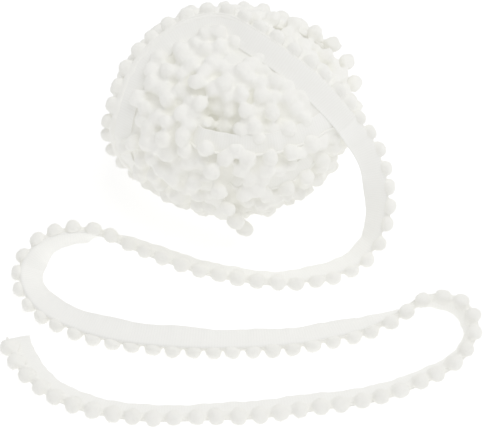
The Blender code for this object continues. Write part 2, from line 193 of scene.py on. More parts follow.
TAIL_BENDS = (
    Bend(69.3, -24.9, 75.6, -38),
    Bend(76.8, -25.6, 66.2, -30),
    Bend(83.0, -33.0, 58.6, -27),
    Bend(88.5, -43.5, 46.5, -26),
    Bend(90.5, -53.5, 32.0, -24),
    Bend(87.5, -65.0, 19.0, -20),
    Bend(80.5, -74.0, 10.0, -16),
    Bend(70.5, -81.5, 5.5, -12),
    Bend(52.0, -88.5, 5.0, -15),
    Bend(27.5, -93.0, 7.0, -24),
    Bend(-10.0, -87.0, 7.5, -26),
    Bend(-42.0, -75.0, 8.0, -28),
    Bend(-63.5, -65.0, 9.5, -35),
    Bend(-73.0, -61.5, 12.5, -52),
    Bend(-83.5, -59.5, 15.5, -78),
    Bend(-94.5, -59.0, 15.5, -90),
    Bend(-107.0, -63.0, 15.5, -102),
    Bend(-117.5, -71.0, 13.0, -126),
    Bend(-124.0, -80.5, 7.0, -155),
    Bend(-122.0, -96.0, 5.0, -174),
    Bend(-111.5, -112.0, 4.3, -186),
    Bend(-94.0, -123.5, 4.0, -191),
    Bend(-68.0, -133.0, 4.0, -196),
    Bend(-34.0, -138.0, 4.0, -194),
    Bend(2.0, -139.0, 4.0, -183),
    Bend(38.0, -136.0, 4.0, -178),
    Bend(70.0, -128.5, 4.6, -167),
    Bend(85.5, -124.0, 8.5, -149),
    Bend(97.0, -118.5, 12.5, -129),
    Bend(108.5, -111.0, 15.0, -106),
    Bend(121.5, -109.5, 15.5, -92),
    Bend(131.5, -115.0, 15.5, -80),
    Bend(136.0, -127.0, 14.5, -68),
    Bend(133.0, -138.5, 13.0, -56),
    Bend(124.5, -150.5, 11.0, -44),
    Bend(108.5, -160.5, 9.0, -34),
    Bend(81.5, -172.5, 7.5, -26),
    Bend(48.0, -178.5, 6.6, -22),
    Bend(14.0, -183.5, 5.8, -19),
    Bend(-9.0, -185.0, 7.0, -24),
    Bend(-44.0, -186.0, 7.0, -25),
    Bend(-71.5, -182.0, 7.0, -24),
    Bend(-89.5, -176.0, 7.0, -24),
    Bend(-104.0, -167.0, 6.5, -22),
    Bend(-118.0, -152.5, 5.8, -19),
    Bend(-125.5, -138.0, 4.9, -15),
    Bend(-128.0, -129.5, 4.5, -13),
)


class Hollow(NamedTuple):
    """A place where the outer turns part and the winding's inside shows.

    Attributes:
        azimuth: Its direction from the ball's centre, in degrees from +X.
        elevation: How far that is above level, in degrees.
        radius_mm: How wide it opens.
        depth_mm: How deep it goes.
    """

    azimuth: float
    elevation: float
    radius_mm: float
    depth_mm: float


HOLLOWS = (Hollow(-102.0, 39.0, 15.0, 10.0),)

# The share of a hollow's radius inside which it has its full depth
HOLLOW_FLOOR = 0.3


class ProfilePoint(NamedTuple):
    """A point of the tape's cross-section: how far across it, how high, how deep its ribs are."""

    across_mm: float
    height_mm: float
    ribs: float


TAIL_PROFILE = (
    ProfilePoint(0.6, 2.00, 0.0),
    ProfilePoint(2.4, 1.85, 0.3),
    ProfilePoint(4.6, 1.40, 1.0),
    ProfilePoint(6.9, 0.90, 1.0),
    ProfilePoint(9.0, 0.50, 1.0),
    ProfilePoint(11.0, 0.20, 1.0),
    ProfilePoint(12.8, 0.00, 0.8),
    ProfilePoint(13.7, 0.15, 0.3),
    ProfilePoint(14.5, 0.20, 0.0),
)
WOUND_PROFILE = (
    ProfilePoint(1.2, -0.30, 0.0),
    ProfilePoint(3.0, 0.00, 0.5),
    ProfilePoint(5.6, 0.15, 1.0),
    ProfilePoint(8.4, 0.15, 1.0),
    ProfilePoint(11.2, 0.00, 1.0),
    ProfilePoint(12.8, 0.15, 0.5),
    ProfilePoint(13.5, 0.30, 0.0),
)


# ---- Stretches of trim -------------------------------------------------------------------------


@dataclass
class Run:
    """A stretch of trim: rows of its pompom line, with the way across the tape at each.

    Attributes:
        centre: The points of the line, one a row.
        across: Unit directions from the line over the tape.
        normal: Unit directions out of the tape's outer face.
        wrap: How strongly the tape bends round what it lies on, per metre.
        lay: Which side of the pompoms the tape is on: 1 out along the normal, -1 the other.
    """

    centre: np.ndarray
    across: np.ndarray
    normal: np.ndarray
    wrap: np.ndarray
    lay: np.ndarray

    @property
    def rows(self) -> tuple[np.ndarray, ...]:
        """All that is known of each row, in the order of the fields."""
        return self.centre, self.across, self.normal, self.wrap, self.lay

    @property
    def reached(self) -> np.ndarray:
        """The distance along the line at each row."""
        return distances_along(self.centre)

    def at(self, distances: np.ndarray) -> "Run":
        """The same run, read at other distances along it.

        Args:
            distances: Distances from the run's start, rising.

        Returns:
            A run with one row for each distance.
        """
        reached = self.reached
        centre = read_rows(self.centre, reached, distances)
        across = unit(read_rows(self.across, reached, distances))
        normal = square_to(read_rows(self.normal, reached, distances), across)
        wrap, lay = read_rows(np.column_stack((self.wrap, self.lay)), reached, distances).T
        return Run(centre, across, normal, wrap, lay)

    def spread(self, widths: np.ndarray, heights: np.ndarray) -> np.ndarray:
        """Points across the run at each row.

        Args:
            widths: Distances across, one a point or one a row and point.
            heights: Heights over the tape's face, of the same shape.

        Returns:
            The points, by row and then by place across.
        """
        widths, heights = np.broadcast_arrays(widths, heights)
        shape = (len(self.centre), widths.shape[-1])
        widths, heights = np.broadcast_to(widths, shape), np.broadcast_to(heights, shape)
        fall = heights - self.wrap[:, None] * widths**2 / 2.0
        return (
            self.centre[:, None, :]
            + self.across[:, None, :] * widths[:, :, None]
            + self.normal[:, None, :] * fall[:, :, None]
        )


def unit(vectors: np.ndarray) -> np.ndarray:
    """The vectors, each one metre long."""
    return vectors / np.maximum(np.linalg.norm(vectors, axis=-1, keepdims=True), 1e-12)


def square_to(vectors: np.ndarray, axes: np.ndarray) -> np.ndarray:
    """The vectors turned square to the unit axes beside them, each one metre long."""
    return unit(vectors - axes * (vectors * axes).sum(axis=1, keepdims=True))


def heading(azimuth: float, elevation: float) -> np.ndarray:
    """The unit direction at an azimuth from +X and an elevation above level, in degrees."""
    turned, raised = math.radians(azimuth), math.radians(elevation)
    level = math.cos(raised)
    return np.array((math.cos(turned) * level, math.sin(turned) * level, math.sin(raised)))


def distances_along(points: np.ndarray) -> np.ndarray:
    """The distance along a line of points at each of them."""
    steps = np.linalg.norm(np.diff(points, axis=0), axis=1)
    return np.concatenate(((0.0,), np.cumsum(steps)))


def read_rows(rows: np.ndarray, reached: np.ndarray, distances: np.ndarray) -> np.ndarray:
    """Reads rows of numbers between the distances at which they are known.

    Args:
        rows: The rows.
        reached: The distance of each, rising.
        distances: The distances that they are read at.

    Returns:
        A row for each of those distances.
    """
    return np.stack([np.interp(distances, reached, column) for column in rows.T], axis=1)


def mapped_at(distances: np.ndarray, widths: np.ndarray) -> np.ndarray:
    """The distance along and across the tape at each point of a grid of it."""
    return np.stack(np.broadcast_arrays(distances[:, None], widths), axis=-1)


class Wave(NamedTuple):
    """A smooth uneven wave.

    Attributes:
        length: Its usual length.
        height: About how far it rises and falls.
    """

    length: float
    height: float

    def at(self, positions: np.ndarray, seed: int) -> np.ndarray:
        """The wave's value at each position, the same for the same seed."""
        chance = random.Random(seed)
        total = np.zeros(np.shape(positions))
        for ratio in WAVE_RATIOS:
            phase = chance.uniform(0.0, 2.0 * math.pi)
            stretch = ratio * chance.uniform(0.85, 1.15)
            turned = 2.0 * math.pi * stretch * positions / self.length + phase
            total = total + np.sin(turned) / ratio
        return total / WAVE_REACH * self.height


def catmull_rom(knots: np.ndarray, steps: int) -> np.ndarray:
    """A smooth curve through rows of numbers.

    Args:
        knots: The rows that it goes through.
        steps: How many rows it has for each two of them.

    Returns:
        The curve's rows, ending with the last knot.
    """
    padded = np.vstack((2.0 * knots[0] - knots[1], knots, 2.0 * knots[-1] - knots[-2]))
    t = (np.arange(steps) / steps)[:, None]
    line = []
    for index in range(1, len(padded) - 2):
        before, start, end, after = padded[index - 1 : index + 3]
        curve = 2.0 * start + (end - before) * t
        curve = curve + (2.0 * before - 5.0 * start + 4.0 * end - after) * t**2
        curve = curve + (3.0 * start - before - 3.0 * end + after) * t**3
        line.append(0.5 * curve)
    return np.vstack((*line, knots[-1:]))


def core_radius(directions: np.ndarray) -> np.ndarray:
    """How far the core's surface is from the ball's centre in each direction."""
    half_height = np.where(directions[:, 2] > 0.0, CORE_HALF_ABOVE, CORE_HALF_BELOW)
    flat = np.full(len(directions), CORE_HALF_WIDTH), np.full(len(directions), CORE_HALF_DEPTH)
    return 1.0 / np.linalg.norm(directions / np.column_stack((*flat, half_height)), axis=1)


def smooth_step(values: np.ndarray) -> np.ndarray:
    """0 up to 0, 1 from 1, and a smooth rise between."""
    held = np.clip(values, 0.0, 1.0)
    return held * held * (3.0 - 2.0 * held)


# ---- Meshes ------------------------------------------------------------------------------------

# The attribute that holds the yarn's tone at each point
TONE = "tone"

# How far the plies of a twisted cord stand in and out, as a share of its radius
PLY_DEPTH = 0.16


def make_object(name: str, mesh: bpy.types.Mesh) -> bpy.types.Object:
    """Links a new smooth-shaded object of a mesh to the scene."""
    mesh.shade_smooth()
    thing = bpy.data.objects.new(name, mesh)
    bpy.context.scene.collection.objects.link(thing)
    return thing


def read_points(mesh: bpy.types.Mesh) -> np.ndarray:
    """A mesh's points, one a row."""
    places = np.empty(len(mesh.vertices) * 3, np.float32)
    mesh.vertices.foreach_get("co", places)
    return places.reshape(-1, 3)


def write_points(mesh: bpy.types.Mesh, points: np.ndarray) -> None:
    """Moves a mesh's points to new places, one a row."""
    mesh.vertices.foreach_set("co", points.astype(np.float32).ravel())
    mesh.update()


def write_tones(mesh: bpy.types.Mesh, tones: Sequence[float]) -> None:
    """Gives each point of a mesh its yarn's tone, from 0 to 1."""
    tone = mesh.attributes.get(TONE) or mesh.attributes.new(TONE, "FLOAT", "POINT")
    tone.data.foreach_set("value", np.array(tones, np.float32))


def apply_modifiers(thing: bpy.types.Object) -> None:
    """Applies all of an object's modifiers."""
    bpy.ops.object.select_all(action="DESELECT")
    bpy.context.view_layer.objects.active = thing
    thing.select_set(True)
    for modifier in list(thing.modifiers):
        bpy.ops.object.modifier_apply(modifier=modifier.name)
    thing.select_set(False)


def faces_between(near: np.ndarray, far: np.ndarray) -> np.ndarray:
    """The faces between two grids of point numbers that lie side by side, row by row."""
    corners = (near[:-1], far[:-1], far[1:], near[1:])
    return np.stack([corner.ravel() for corner in corners], axis=1)


def band_object(
    name: str, grids: Sequence[np.ndarray], maps: Sequence[np.ndarray], thickness: float
) -> bpy.types.Object:
    """Ribbons of cloth through grids of points, as one closed mesh with a UV map in metres.

    Args:
        name: The object's name.
        grids: Points by row and by place across, one grid a ribbon.
        maps: The distance along and across of each point, shaped as its grid.
        thickness: The cloth's thickness, laid under the points.

    Returns:
        The new object.
    """
    points, quads, places = [], [], []
    first = 0
    for grid, mapped in zip(grids, maps):
        rows, width = grid.shape[:2]
        index = first + np.arange(rows * width).reshape(rows, width)
        quads.append(faces_between(index[:, :-1], index[:, 1:]))
        points.append(grid.reshape(-1, 3))
        places.append(mapped.reshape(-1, 2))
        first += rows * width
    faces = np.concatenate(quads)
    mesh = bpy.data.meshes.new(name)
    mesh.from_pydata(np.concatenate(points).tolist(), [], faces.tolist())
    uv_map = mesh.uv_layers.new(name="UVMap")
    uv_map.data.foreach_set("uv", np.concatenate(places)[faces.ravel()].astype(np.float32).ravel())
    thing = make_object(name, mesh)
    cloth = thing.modifiers.new("thickness", "SOLIDIFY")
    cloth.thickness = thickness
    cloth.offset = -1.0
    apply_modifiers(thing)
    return thing


@dataclass(frozen=True)
class Cord:
    """A round cord that runs along the trim.

    Attributes:
        offset: How far its middle is from the pompom line, and over the tape's face.
        radius: Its radius.
        sides: How many points go round it.
        twist: The length of one turn of its ply, or 0 for a plain cord.
    """

    offset: tuple[float, float]
    radius: float
    sides: int
    twist: float = 0.0

    def along(self, name: str, runs: Sequence[Run]) -> bpy.types.Object:
        """The cord along stretches of trim, as one mesh with closed ends.

        Args:
            name: The object's name.
            runs: The stretches that it follows.

        Returns:
            The new object.
        """
        points, faces = [], []
        first = 0
        for run in runs:
            rows = len(run.centre)
            index = first + np.arange(rows * self.sides).reshape(rows, self.sides)
            points.append(self.rings(run).reshape(-1, 3))
            faces.extend(faces_between(index, np.roll(index, -1, axis=1)).tolist())
            faces.append(index[0][::-1].tolist())
            faces.append(index[-1].tolist())
            first += rows * self.sides
        mesh = bpy.data.meshes.new(name)
        mesh.from_pydata(np.concatenate(points).tolist(), [], faces)
        shell = bmesh.new()
        shell.from_mesh(mesh)
        bmesh.ops.recalc_face_normals(shell, faces=shell.faces[:])
        shell.to_mesh(mesh)
        shell.free()
        return make_object(name, mesh)

    def rings(self, run: Run) -> np.ndarray:
        """The points round the cord at each row of a run."""
        around = 2.0 * math.pi * np.arange(self.sides) / self.sides
        middle = run.spread(np.array(self.offset[:1]), run.lay[:, None] * self.offset[1])[:, 0]
        swell = np.ones((len(middle), self.sides))
        if self.twist:
            turned = 2.0 * math.pi * run.reached / self.twist
            swell = 1.0 + PLY_DEPTH * np.cos(2.0 * around[None, :] - turned[:, None])
        ring = (
            run.across[:, None, :] * np.cos(around)[None, :, None]
            + run.normal[:, None, :] * np.sin(around)[None, :, None]
        )
        return middle[:, None, :] + ring * (self.radius * swell)[:, :, None]


def keep_above_floor(thing: bpy.types.Object) -> None:
    """Presses whatever is under the floor flat against it."""
    points = read_points(thing.data)
    points[:, 2] = np.maximum(points[:, 2], 0.0)
    write_points(thing.data, points)


# ---- Pompoms -----------------------------------------------------------------------------------


@dataclass(frozen=True)
class Fuzz:
    """The loose fibre ends that stand out of a pompom.

    Attributes:
        count: How many of them a pompom has.
        length: Their usual length.
        width: How wide they are at their root.
        stray: How far they lean off the way out.
        shares: The least and the most of their length that they have.
        rooted: How deep in the pompom they start, as a share of their length.
    """

    count: int
    length: float
    width: float
    stray: float = 0.35
    shares: tuple[float, float] = (0.575, 1.38)
    rooted: float = 0.15

    def grow(
        self, points: np.ndarray, faces: Sequence[tuple[int, ...]], seed: int
    ) -> tuple[np.ndarray, list[tuple[int, ...]]]:
        """Grows thin fibres out of a pompom's surface.

        Args:
            points: The pompom's points.
            faces: Its faces.
            seed: Which pompom it is.

        Returns:
            The fibres' points and faces.
        """
        chance = np.random.default_rng(seed)
        directions = unit(chance.normal(size=(self.count, 3)))
        middles = np.array([points[list(face)].mean(axis=0) for face in faces])
        nearest = np.argmax(directions @ unit(middles).T, axis=1)
        reach = np.linalg.norm(middles, axis=1)[nearest]
        lean = unit(directions + chance.normal(scale=self.stray, size=(self.count, 3)))
        length = self.length * chance.uniform(*self.shares, self.count)[:, None]
        side = unit(np.cross(lean, directions[:, [1, 2, 0]]))
        other = np.cross(lean, side)
        root = directions * (reach - self.rooted * self.length)[:, None]
        corners = [root + lean * length]
        for turn in range(3):
            angle = 2.0 * math.pi * turn / 3.0
            around = side * math.cos(angle) + other * math.sin(angle)
            corners.append(root + around * (self.width / 2.0))
        fibres = np.stack(corners, axis=1).reshape(-1, 3)
        grown = []
        for tip in range(0, 4 * self.count, 4):
            feet = (tip + 1, tip + 2, tip + 3)
            grown.extend([(tip, feet[turn], feet[(turn + 1) % 3]) for turn in range(3)])
        return fibres, grown


# Where a pompom is shaped, in shares of its radius: how far towards the tape its near side and
# its far side start, how far off the tape's plane its edge reaches, where the yarn that reaches
# over the tape is rooted, and where its face that the tape presses starts, across and upward;
# then how much of the waist its far side has, how much a longer tongue narrows it, and how much
# of its lumps' shift is straight out
NEAR_SIDE = 0.25
FAR_SIDE = -0.6
EDGE_BAND = 0.3
TONGUE_ROOT = 0.2
PRESSED_FROM = 0.05
PRESSED_FACE = 0.02
FAR_WAIST = 0.4
TONGUE_NARROWING = 0.4
LUMPS_OUTWARD = 0.7


@dataclass(frozen=True)
class Pompom:
    """A cut-yarn pompom, modelled at the origin with the tape on its +Y side and Z its normal.

    Attributes:
        radius: Its usual radius.
        cuts: How finely its starting cube is cut.
        rounds: Levels of subdivision that finish it.
        lump: How far its yarn stands in or out.
        stretch: Its length away from the tape against its width.
        waist: How deep the tape's edge presses into it.
        press: How flat the tape presses the side that it lies on: 1 leaves it round.
        tongue: How much further its yarn reaches over the tape: 1 leaves it round.
    """

    radius: float
    cuts: int
    rounds: int
    lump: float
    stretch: float
    waist: float
    press: float = 1.0
    tongue: float = 1.0

    def model(self, seed: int) -> tuple[np.ndarray, list[tuple[int, ...]]]:
        """Models one pompom from a cube and takes its points and faces.

        Args:
            seed: Which pompom it is, as no two are lumpy in the same way.

        Returns:
            Its points, and its faces as indices of them.
        """
        bpy.ops.object.select_all(action="DESELECT")
        bpy.ops.mesh.primitive_cube_add(size=2.0 * self.radius)
        ball = bpy.context.object
        bpy.ops.object.mode_set(mode="EDIT")
        bpy.ops.mesh.select_all(action="SELECT")
        bpy.ops.mesh.subdivide(number_cuts=self.cuts)
        bpy.ops.transform.tosphere(value=1.0)
        grown = self.radius / self.mean_radius(ball)
        bpy.ops.transform.resize(value=(grown, grown * self.stretch, grown))
        near, far = NEAR_SIDE * self.radius, FAR_SIDE * self.radius
        self.choose(ball, lambda place: place.y > near and self.near_edge(place))
        bpy.ops.transform.translate(value=(0.0, -self.waist, 0.0))
        self.choose(ball, lambda place: place.y < far and self.near_edge(place))
        bpy.ops.transform.translate(value=(0.0, FAR_WAIST * self.waist, 0.0))
        root = TONGUE_ROOT * self.radius
        self.choose(ball, lambda place: place.y > root)
        narrowed = 1.0 - TONGUE_NARROWING * (self.tongue - 1.0)
        drawn = (narrowed, self.tongue, 1.0 / self.tongue**2)
        bpy.ops.transform.resize(value=drawn, center_override=(0.0, root, 0.0))
        bpy.ops.mesh.select_all(action="SELECT")
        bpy.ops.transform.vertex_random(offset=self.lump, normal=LUMPS_OUTWARD, seed=seed)
        level, start = PRESSED_FACE * self.radius, PRESSED_FROM * self.radius
        self.choose(ball, lambda place: place.z > level and place.y > start)
        bpy.ops.transform.resize(value=(1.0, 1.0, self.press), center_override=(0.0, 0.0, level))
        bpy.ops.object.mode_set(mode="OBJECT")
        if self.rounds:
            soft = ball.modifiers.new("soften", "SUBSURF")
            soft.levels = soft.render_levels = self.rounds
            apply_modifiers(ball)
        points = np.array([vertex.co for vertex in ball.data.vertices])
        faces = [tuple(face.vertices) for face in ball.data.polygons]
        bpy.data.objects.remove(ball)
        outer = points[points[:, 1] < 0.0]
        points *= self.radius / np.linalg.norm(outer, axis=1).mean()
        return points, faces

    def near_edge(self, place: Vector) -> bool:
        """Whether a point is beside the plane of the tape."""
        return abs(place.z) < EDGE_BAND * self.radius

    def mean_radius(self, ball: bpy.types.Object) -> float:
        """How far the points of a ball in edit mode are from its middle."""
        shell = bmesh.from_edit_mesh(ball.data)
        return sum(vertex.co.length for vertex in shell.verts) / len(shell.verts)

    def choose(self, ball: bpy.types.Object, wanted: Callable[[Vector], bool]) -> None:
        """Selects the points of a ball in edit mode that lie where they are wanted."""
        shell = bmesh.from_edit_mesh(ball.data)
        for vertex in shell.verts:
            vertex.select = wanted(vertex.co)
        shell.select_flush_mode()
        bmesh.update_edit_mesh(ball.data)

    def plant(
        self, name: str, places: Sequence[Matrix], kinds: int, fuzz: Fuzz | None = None
    ) -> bpy.types.Object:
        """Copies pompoms, or their loose fibres, to their places, joined as one mesh.

        Args:
            name: The object's name.
            places: Where each one goes and how it is turned and sized.
            kinds: How many different pompoms are modelled for them.
            fuzz: The fibres that are planted instead of the pompoms.

        Returns:
            The new object, with a tone of its own for each pompom in an attribute.
        """
        modelled = [self.model(seed) for seed in range(1, kinds + 1)]
        if fuzz is not None:
            modelled = [fuzz.grow(*own, seed) for seed, own in enumerate(modelled)]
        chance = random.Random(kinds)
        points, faces, tones = [], [], []
        first = 0
        for number, place in enumerate(places):
            own, own_faces = modelled[(number * KIND_STRIDE) % kinds]
            matrix = np.array(place)
            points.append(own @ matrix[:3, :3].T + matrix[:3, 3])
            faces.extend([tuple(first + index for index in face) for face in own_faces])
            tones.extend([chance.random()] * len(own))
            first += len(own)
        mesh = bpy.data.meshes.new(name)
        mesh.from_pydata(np.concatenate(points).tolist(), [], faces)
        write_tones(mesh, tones)
        return make_object(name, mesh)


def pompom_place(
    centre: np.ndarray, towards_tape: np.ndarray, normal: np.ndarray, size: Sequence[float]
) -> Matrix:
    """The matrix that plants a pompom.

    Args:
        centre: Its middle.
        towards_tape: The direction from it to the tape.
        normal: The direction out of the tape's face.
        size: Its size along the trim, across it and along the normal, against its usual size.

    Returns:
        The matrix for its points.
    """
    across = Vector(towards_tape).normalized()
    along = across.cross(Vector(normal)).normalized()
    upward = along.cross(across)
    columns = [axis * scale for axis, scale in zip((along, across, upward), size)]
    matrix = Matrix.Identity(4)
    for index, column in enumerate(columns):
        for row in range(3):
            matrix[row][index] = column[row]
    matrix.translation = Vector(centre)
    return matrix


def melted(
    pieces: Sequence[bpy.types.Object], grain: float, rounds: int, places: Sequence[Matrix]
) -> bpy.types.Object:
    """Melts soft pieces of yarn that press on each other into one closed mass.

    Args:
        pieces: The closed pieces; the first gives the mass its name.
        grain: The size of one of its faces.
        rounds: How often it is smoothed.
        places: Where its pompoms are, each of which has a tone of its own.

    Returns:
        The mass.
    """
    mass = pieces[0]
    bpy.ops.object.select_all(action="DESELECT")
    for piece in pieces:
        piece.select_set(True)
    bpy.context.view_layer.objects.active = mass
    bpy.ops.object.join()
    melt = mass.modifiers.new("melt", "REMESH")
    melt.mode = "VOXEL"
    melt.voxel_size = grain
    melt.use_smooth_shade = True
    soften = mass.modifiers.new("soften", "SMOOTH")
    soften.factor = 0.5
    soften.iterations = rounds
    apply_modifiers(mass)
    chance = random.Random(len(places))
    own = [chance.random() for _ in places]
    nearest = KDTree(len(places))
    for number, place in enumerate(places):
        nearest.insert(place.translation, number)
    nearest.balance()
    write_tones(mass.data, [own[nearest.find(vertex.co)[1]] for vertex in mass.data.vertices])
    return mass


@dataclass(frozen=True)
class Tufts:
    """The pompoms of a stretch of trim, which press into one soft mass, and their loose fibres.

    Attributes:
        pompom: The pompom that is copied to each place.
        kinds: How many different ones are modelled.
        fuzz: The loose fibres of each.
        grain: The size of a face of the mass.
        smoothing: How often the mass is smoothed.
    """

    pompom: Pompom
    kinds: int
    fuzz: Fuzz
    grain: float
    smoothing: int

    def build(
        self, name: str, places: Sequence[Matrix], filling: bpy.types.Object
    ) -> tuple[bpy.types.Object, bpy.types.Object]:
        """Makes the mass and the fibres.

        Args:
            name: What their names start with.
            places: Where each pompom goes and how it is turned and sized.
            filling: The closed piece of yarn that carries the pompoms.

        Returns:
            The mass and the fibres.
        """
        pompoms = self.pompom.plant(f"{name}_pompoms", places, self.kinds)
        pompoms = melted([pompoms, filling], self.grain, self.smoothing, places)
        fibres = self.pompom.plant(f"{name}_fibres", places, self.kinds, self.fuzz)
        return pompoms, fibres


# ---- Finishes ----------------------------------------------------------------------------------


# How much of the tape's relief its tufts are, and how far its ribs, its tufts and each pompom's
# own tone make the yarn lighter; the ribs' share is painted light on their crests and painted
# shade between them, the rest random tone
TUFTS_ON_TAPE = 0.35
RIBBED_SHARE = 0.6
TUFTED_SHARE = 0.7


class Weave(Enum):
    """What a piece's surface is made of."""

    CUT_YARN = "cut_yarn"
    RIBBED_TAPE = "ribbed_tape"
    CORD = "cord"


def new_group(name: str, inputs: dict[str, float], outputs: Sequence[str]) -> bpy.types.NodeTree:
    """An empty shader node group with number inputs and outputs.

    Args:
        name: The group's name.
        inputs: Its inputs and their usual values.
        outputs: The names of its outputs.

    Returns:
        The group, with its input and output nodes in place.
    """
    group = bpy.data.node_groups.new(name, "ShaderNodeTree")
    for label, value in inputs.items():
        socket = group.interface.new_socket(label, in_out="INPUT", socket_type="NodeSocketFloat")
        socket.default_value = value
    for label in outputs:
        group.interface.new_socket(label, in_out="OUTPUT", socket_type="NodeSocketFloat")
    group.nodes.new("NodeGroupInput").name = "in"
    group.nodes.new("NodeGroupOutput").name = "out"
    return group


def math_node(
    tree: bpy.types.NodeTree, operation: str, first: object, second: object = None
) -> bpy.types.NodeSocket:
    """A Math node whose inputs are sockets or numbers.

    Args:
        tree: The tree that it goes in.
        operation: What it does.
        first: Its first input.
        second: Its second input, if it has one.

    Returns:
        Its output.
    """
    node = tree.nodes.new("ShaderNodeMath")
    node.operation = operation
    for index, value in enumerate((first, second)):
        if isinstance(value, bpy.types.NodeSocket):
            tree.links.new(value, node.inputs[index])
        elif value is not None:
            node.inputs[index].default_value = value
    return node.outputs[0]


@cache
def tuft_group() -> bpy.types.NodeTree:
    """Soft tufts of yarn: a mask that changes slowly and a height with fine fibres."""
    group = new_group("yarn_tufts", {"Tuft size": 1.4 * MM, "Fibres": 0.35}, ("Mask", "Height"))
    nodes, links = group.nodes, group.links
    place = nodes.new("ShaderNodeTexCoord").outputs["Object"]
    per_tuft = math_node(group, "DIVIDE", 1.0, nodes["in"].outputs["Tuft size"])
    noises = []
    for ratio, detail in ((0.35, 2.0), (1.0, 1.0), (3.2, 2.0)):
        noise = nodes.new("ShaderNodeTexNoise")
        noise.inputs["Detail"].default_value = detail
        links.new(place, noise.inputs["Vector"])
        links.new(math_node(group, "MULTIPLY", per_tuft, ratio), noise.inputs["Scale"])
        noises.append(noise.outputs["Fac"])
    fibres = math_node(group, "MULTIPLY", noises[2], nodes["in"].outputs["Fibres"])
    links.new(noises[0], nodes["out"].inputs["Mask"])
    links.new(math_node(group, "ADD", noises[1], fibres), nodes["out"].inputs["Height"])
    return group


@cache
def rib_group() -> bpy.types.NodeTree:
    """The tape's woven ribs, read from its UV map in metres: a mask of painted light and shade,
    and a height.
    """
    group = new_group("tape_ribs", {"Pitch": 1.6 * MM, "Thread": 0.45 * MM}, ("Mask", "Height"))
    nodes, links = group.nodes, group.links
    mapped = nodes.new("ShaderNodeUVMap")
    mapped.uv_map = "UVMap"
    split = nodes.new("ShaderNodeSeparateXYZ")
    links.new(mapped.outputs["UV"], split.inputs["Vector"])
    waves = []
    for axis, label in (("X", "Pitch"), ("Y", "Thread")):
        turns = math_node(group, "DIVIDE", split.outputs[axis], nodes["in"].outputs[label])
        angle = math_node(group, "MULTIPLY", turns, 2.0 * math.pi)
        wave = math_node(group, "COSINE", angle)
        waves.append(math_node(group, "MULTIPLY_ADD", wave, 0.5))
        waves[-1].node.inputs[2].default_value = 0.5
    threads = math_node(group, "MULTIPLY", waves[1], 0.25)
    links.new(waves[0], nodes["out"].inputs["Mask"])
    links.new(math_node(group, "ADD", waves[0], threads), nodes["out"].inputs["Height"])
    return group


@cache
def hollow_shade_group() -> bpy.types.NodeTree:
    """Painted shade by depth in the winding: 0 at its outside, 1 down between its turns."""
    group = new_group("winding_depth", {"Outside": 1.07, "Inside": 0.94}, ("Mask",))
    nodes, links = group.nodes, group.links
    halves = (CORE_HALF_WIDTH, CORE_HALF_DEPTH, (CORE_HALF_ABOVE + CORE_HALF_BELOW) / 2.0)
    centred = nodes.new("ShaderNodeMapping")
    centred.inputs["Scale"].default_value = [1.0 / half for half in halves]
    centred.inputs["Location"].default_value = [
        -place / half for place, half in zip(BALL_CENTRE, halves)
    ]
    links.new(nodes.new("ShaderNodeTexCoord").outputs["Object"], centred.inputs["Vector"])
    length = nodes.new("ShaderNodeVectorMath")
    length.operation = "LENGTH"
    links.new(centred.outputs["Vector"], length.inputs[0])
    reach = nodes.new("ShaderNodeMapRange")
    reach.interpolation_type = "SMOOTHSTEP"
    links.new(length.outputs["Value"], reach.inputs["Value"])
    links.new(nodes["in"].outputs["Outside"], reach.inputs["From Max"])
    links.new(nodes["in"].outputs["Inside"], reach.inputs["From Min"])
    reach.inputs["To Min"].default_value = 1.0
    reach.inputs["To Max"].default_value = 0.0
    links.new(reach.outputs["Result"], nodes["out"].inputs["Mask"])
    return group


Colour = tuple[float, float, float]


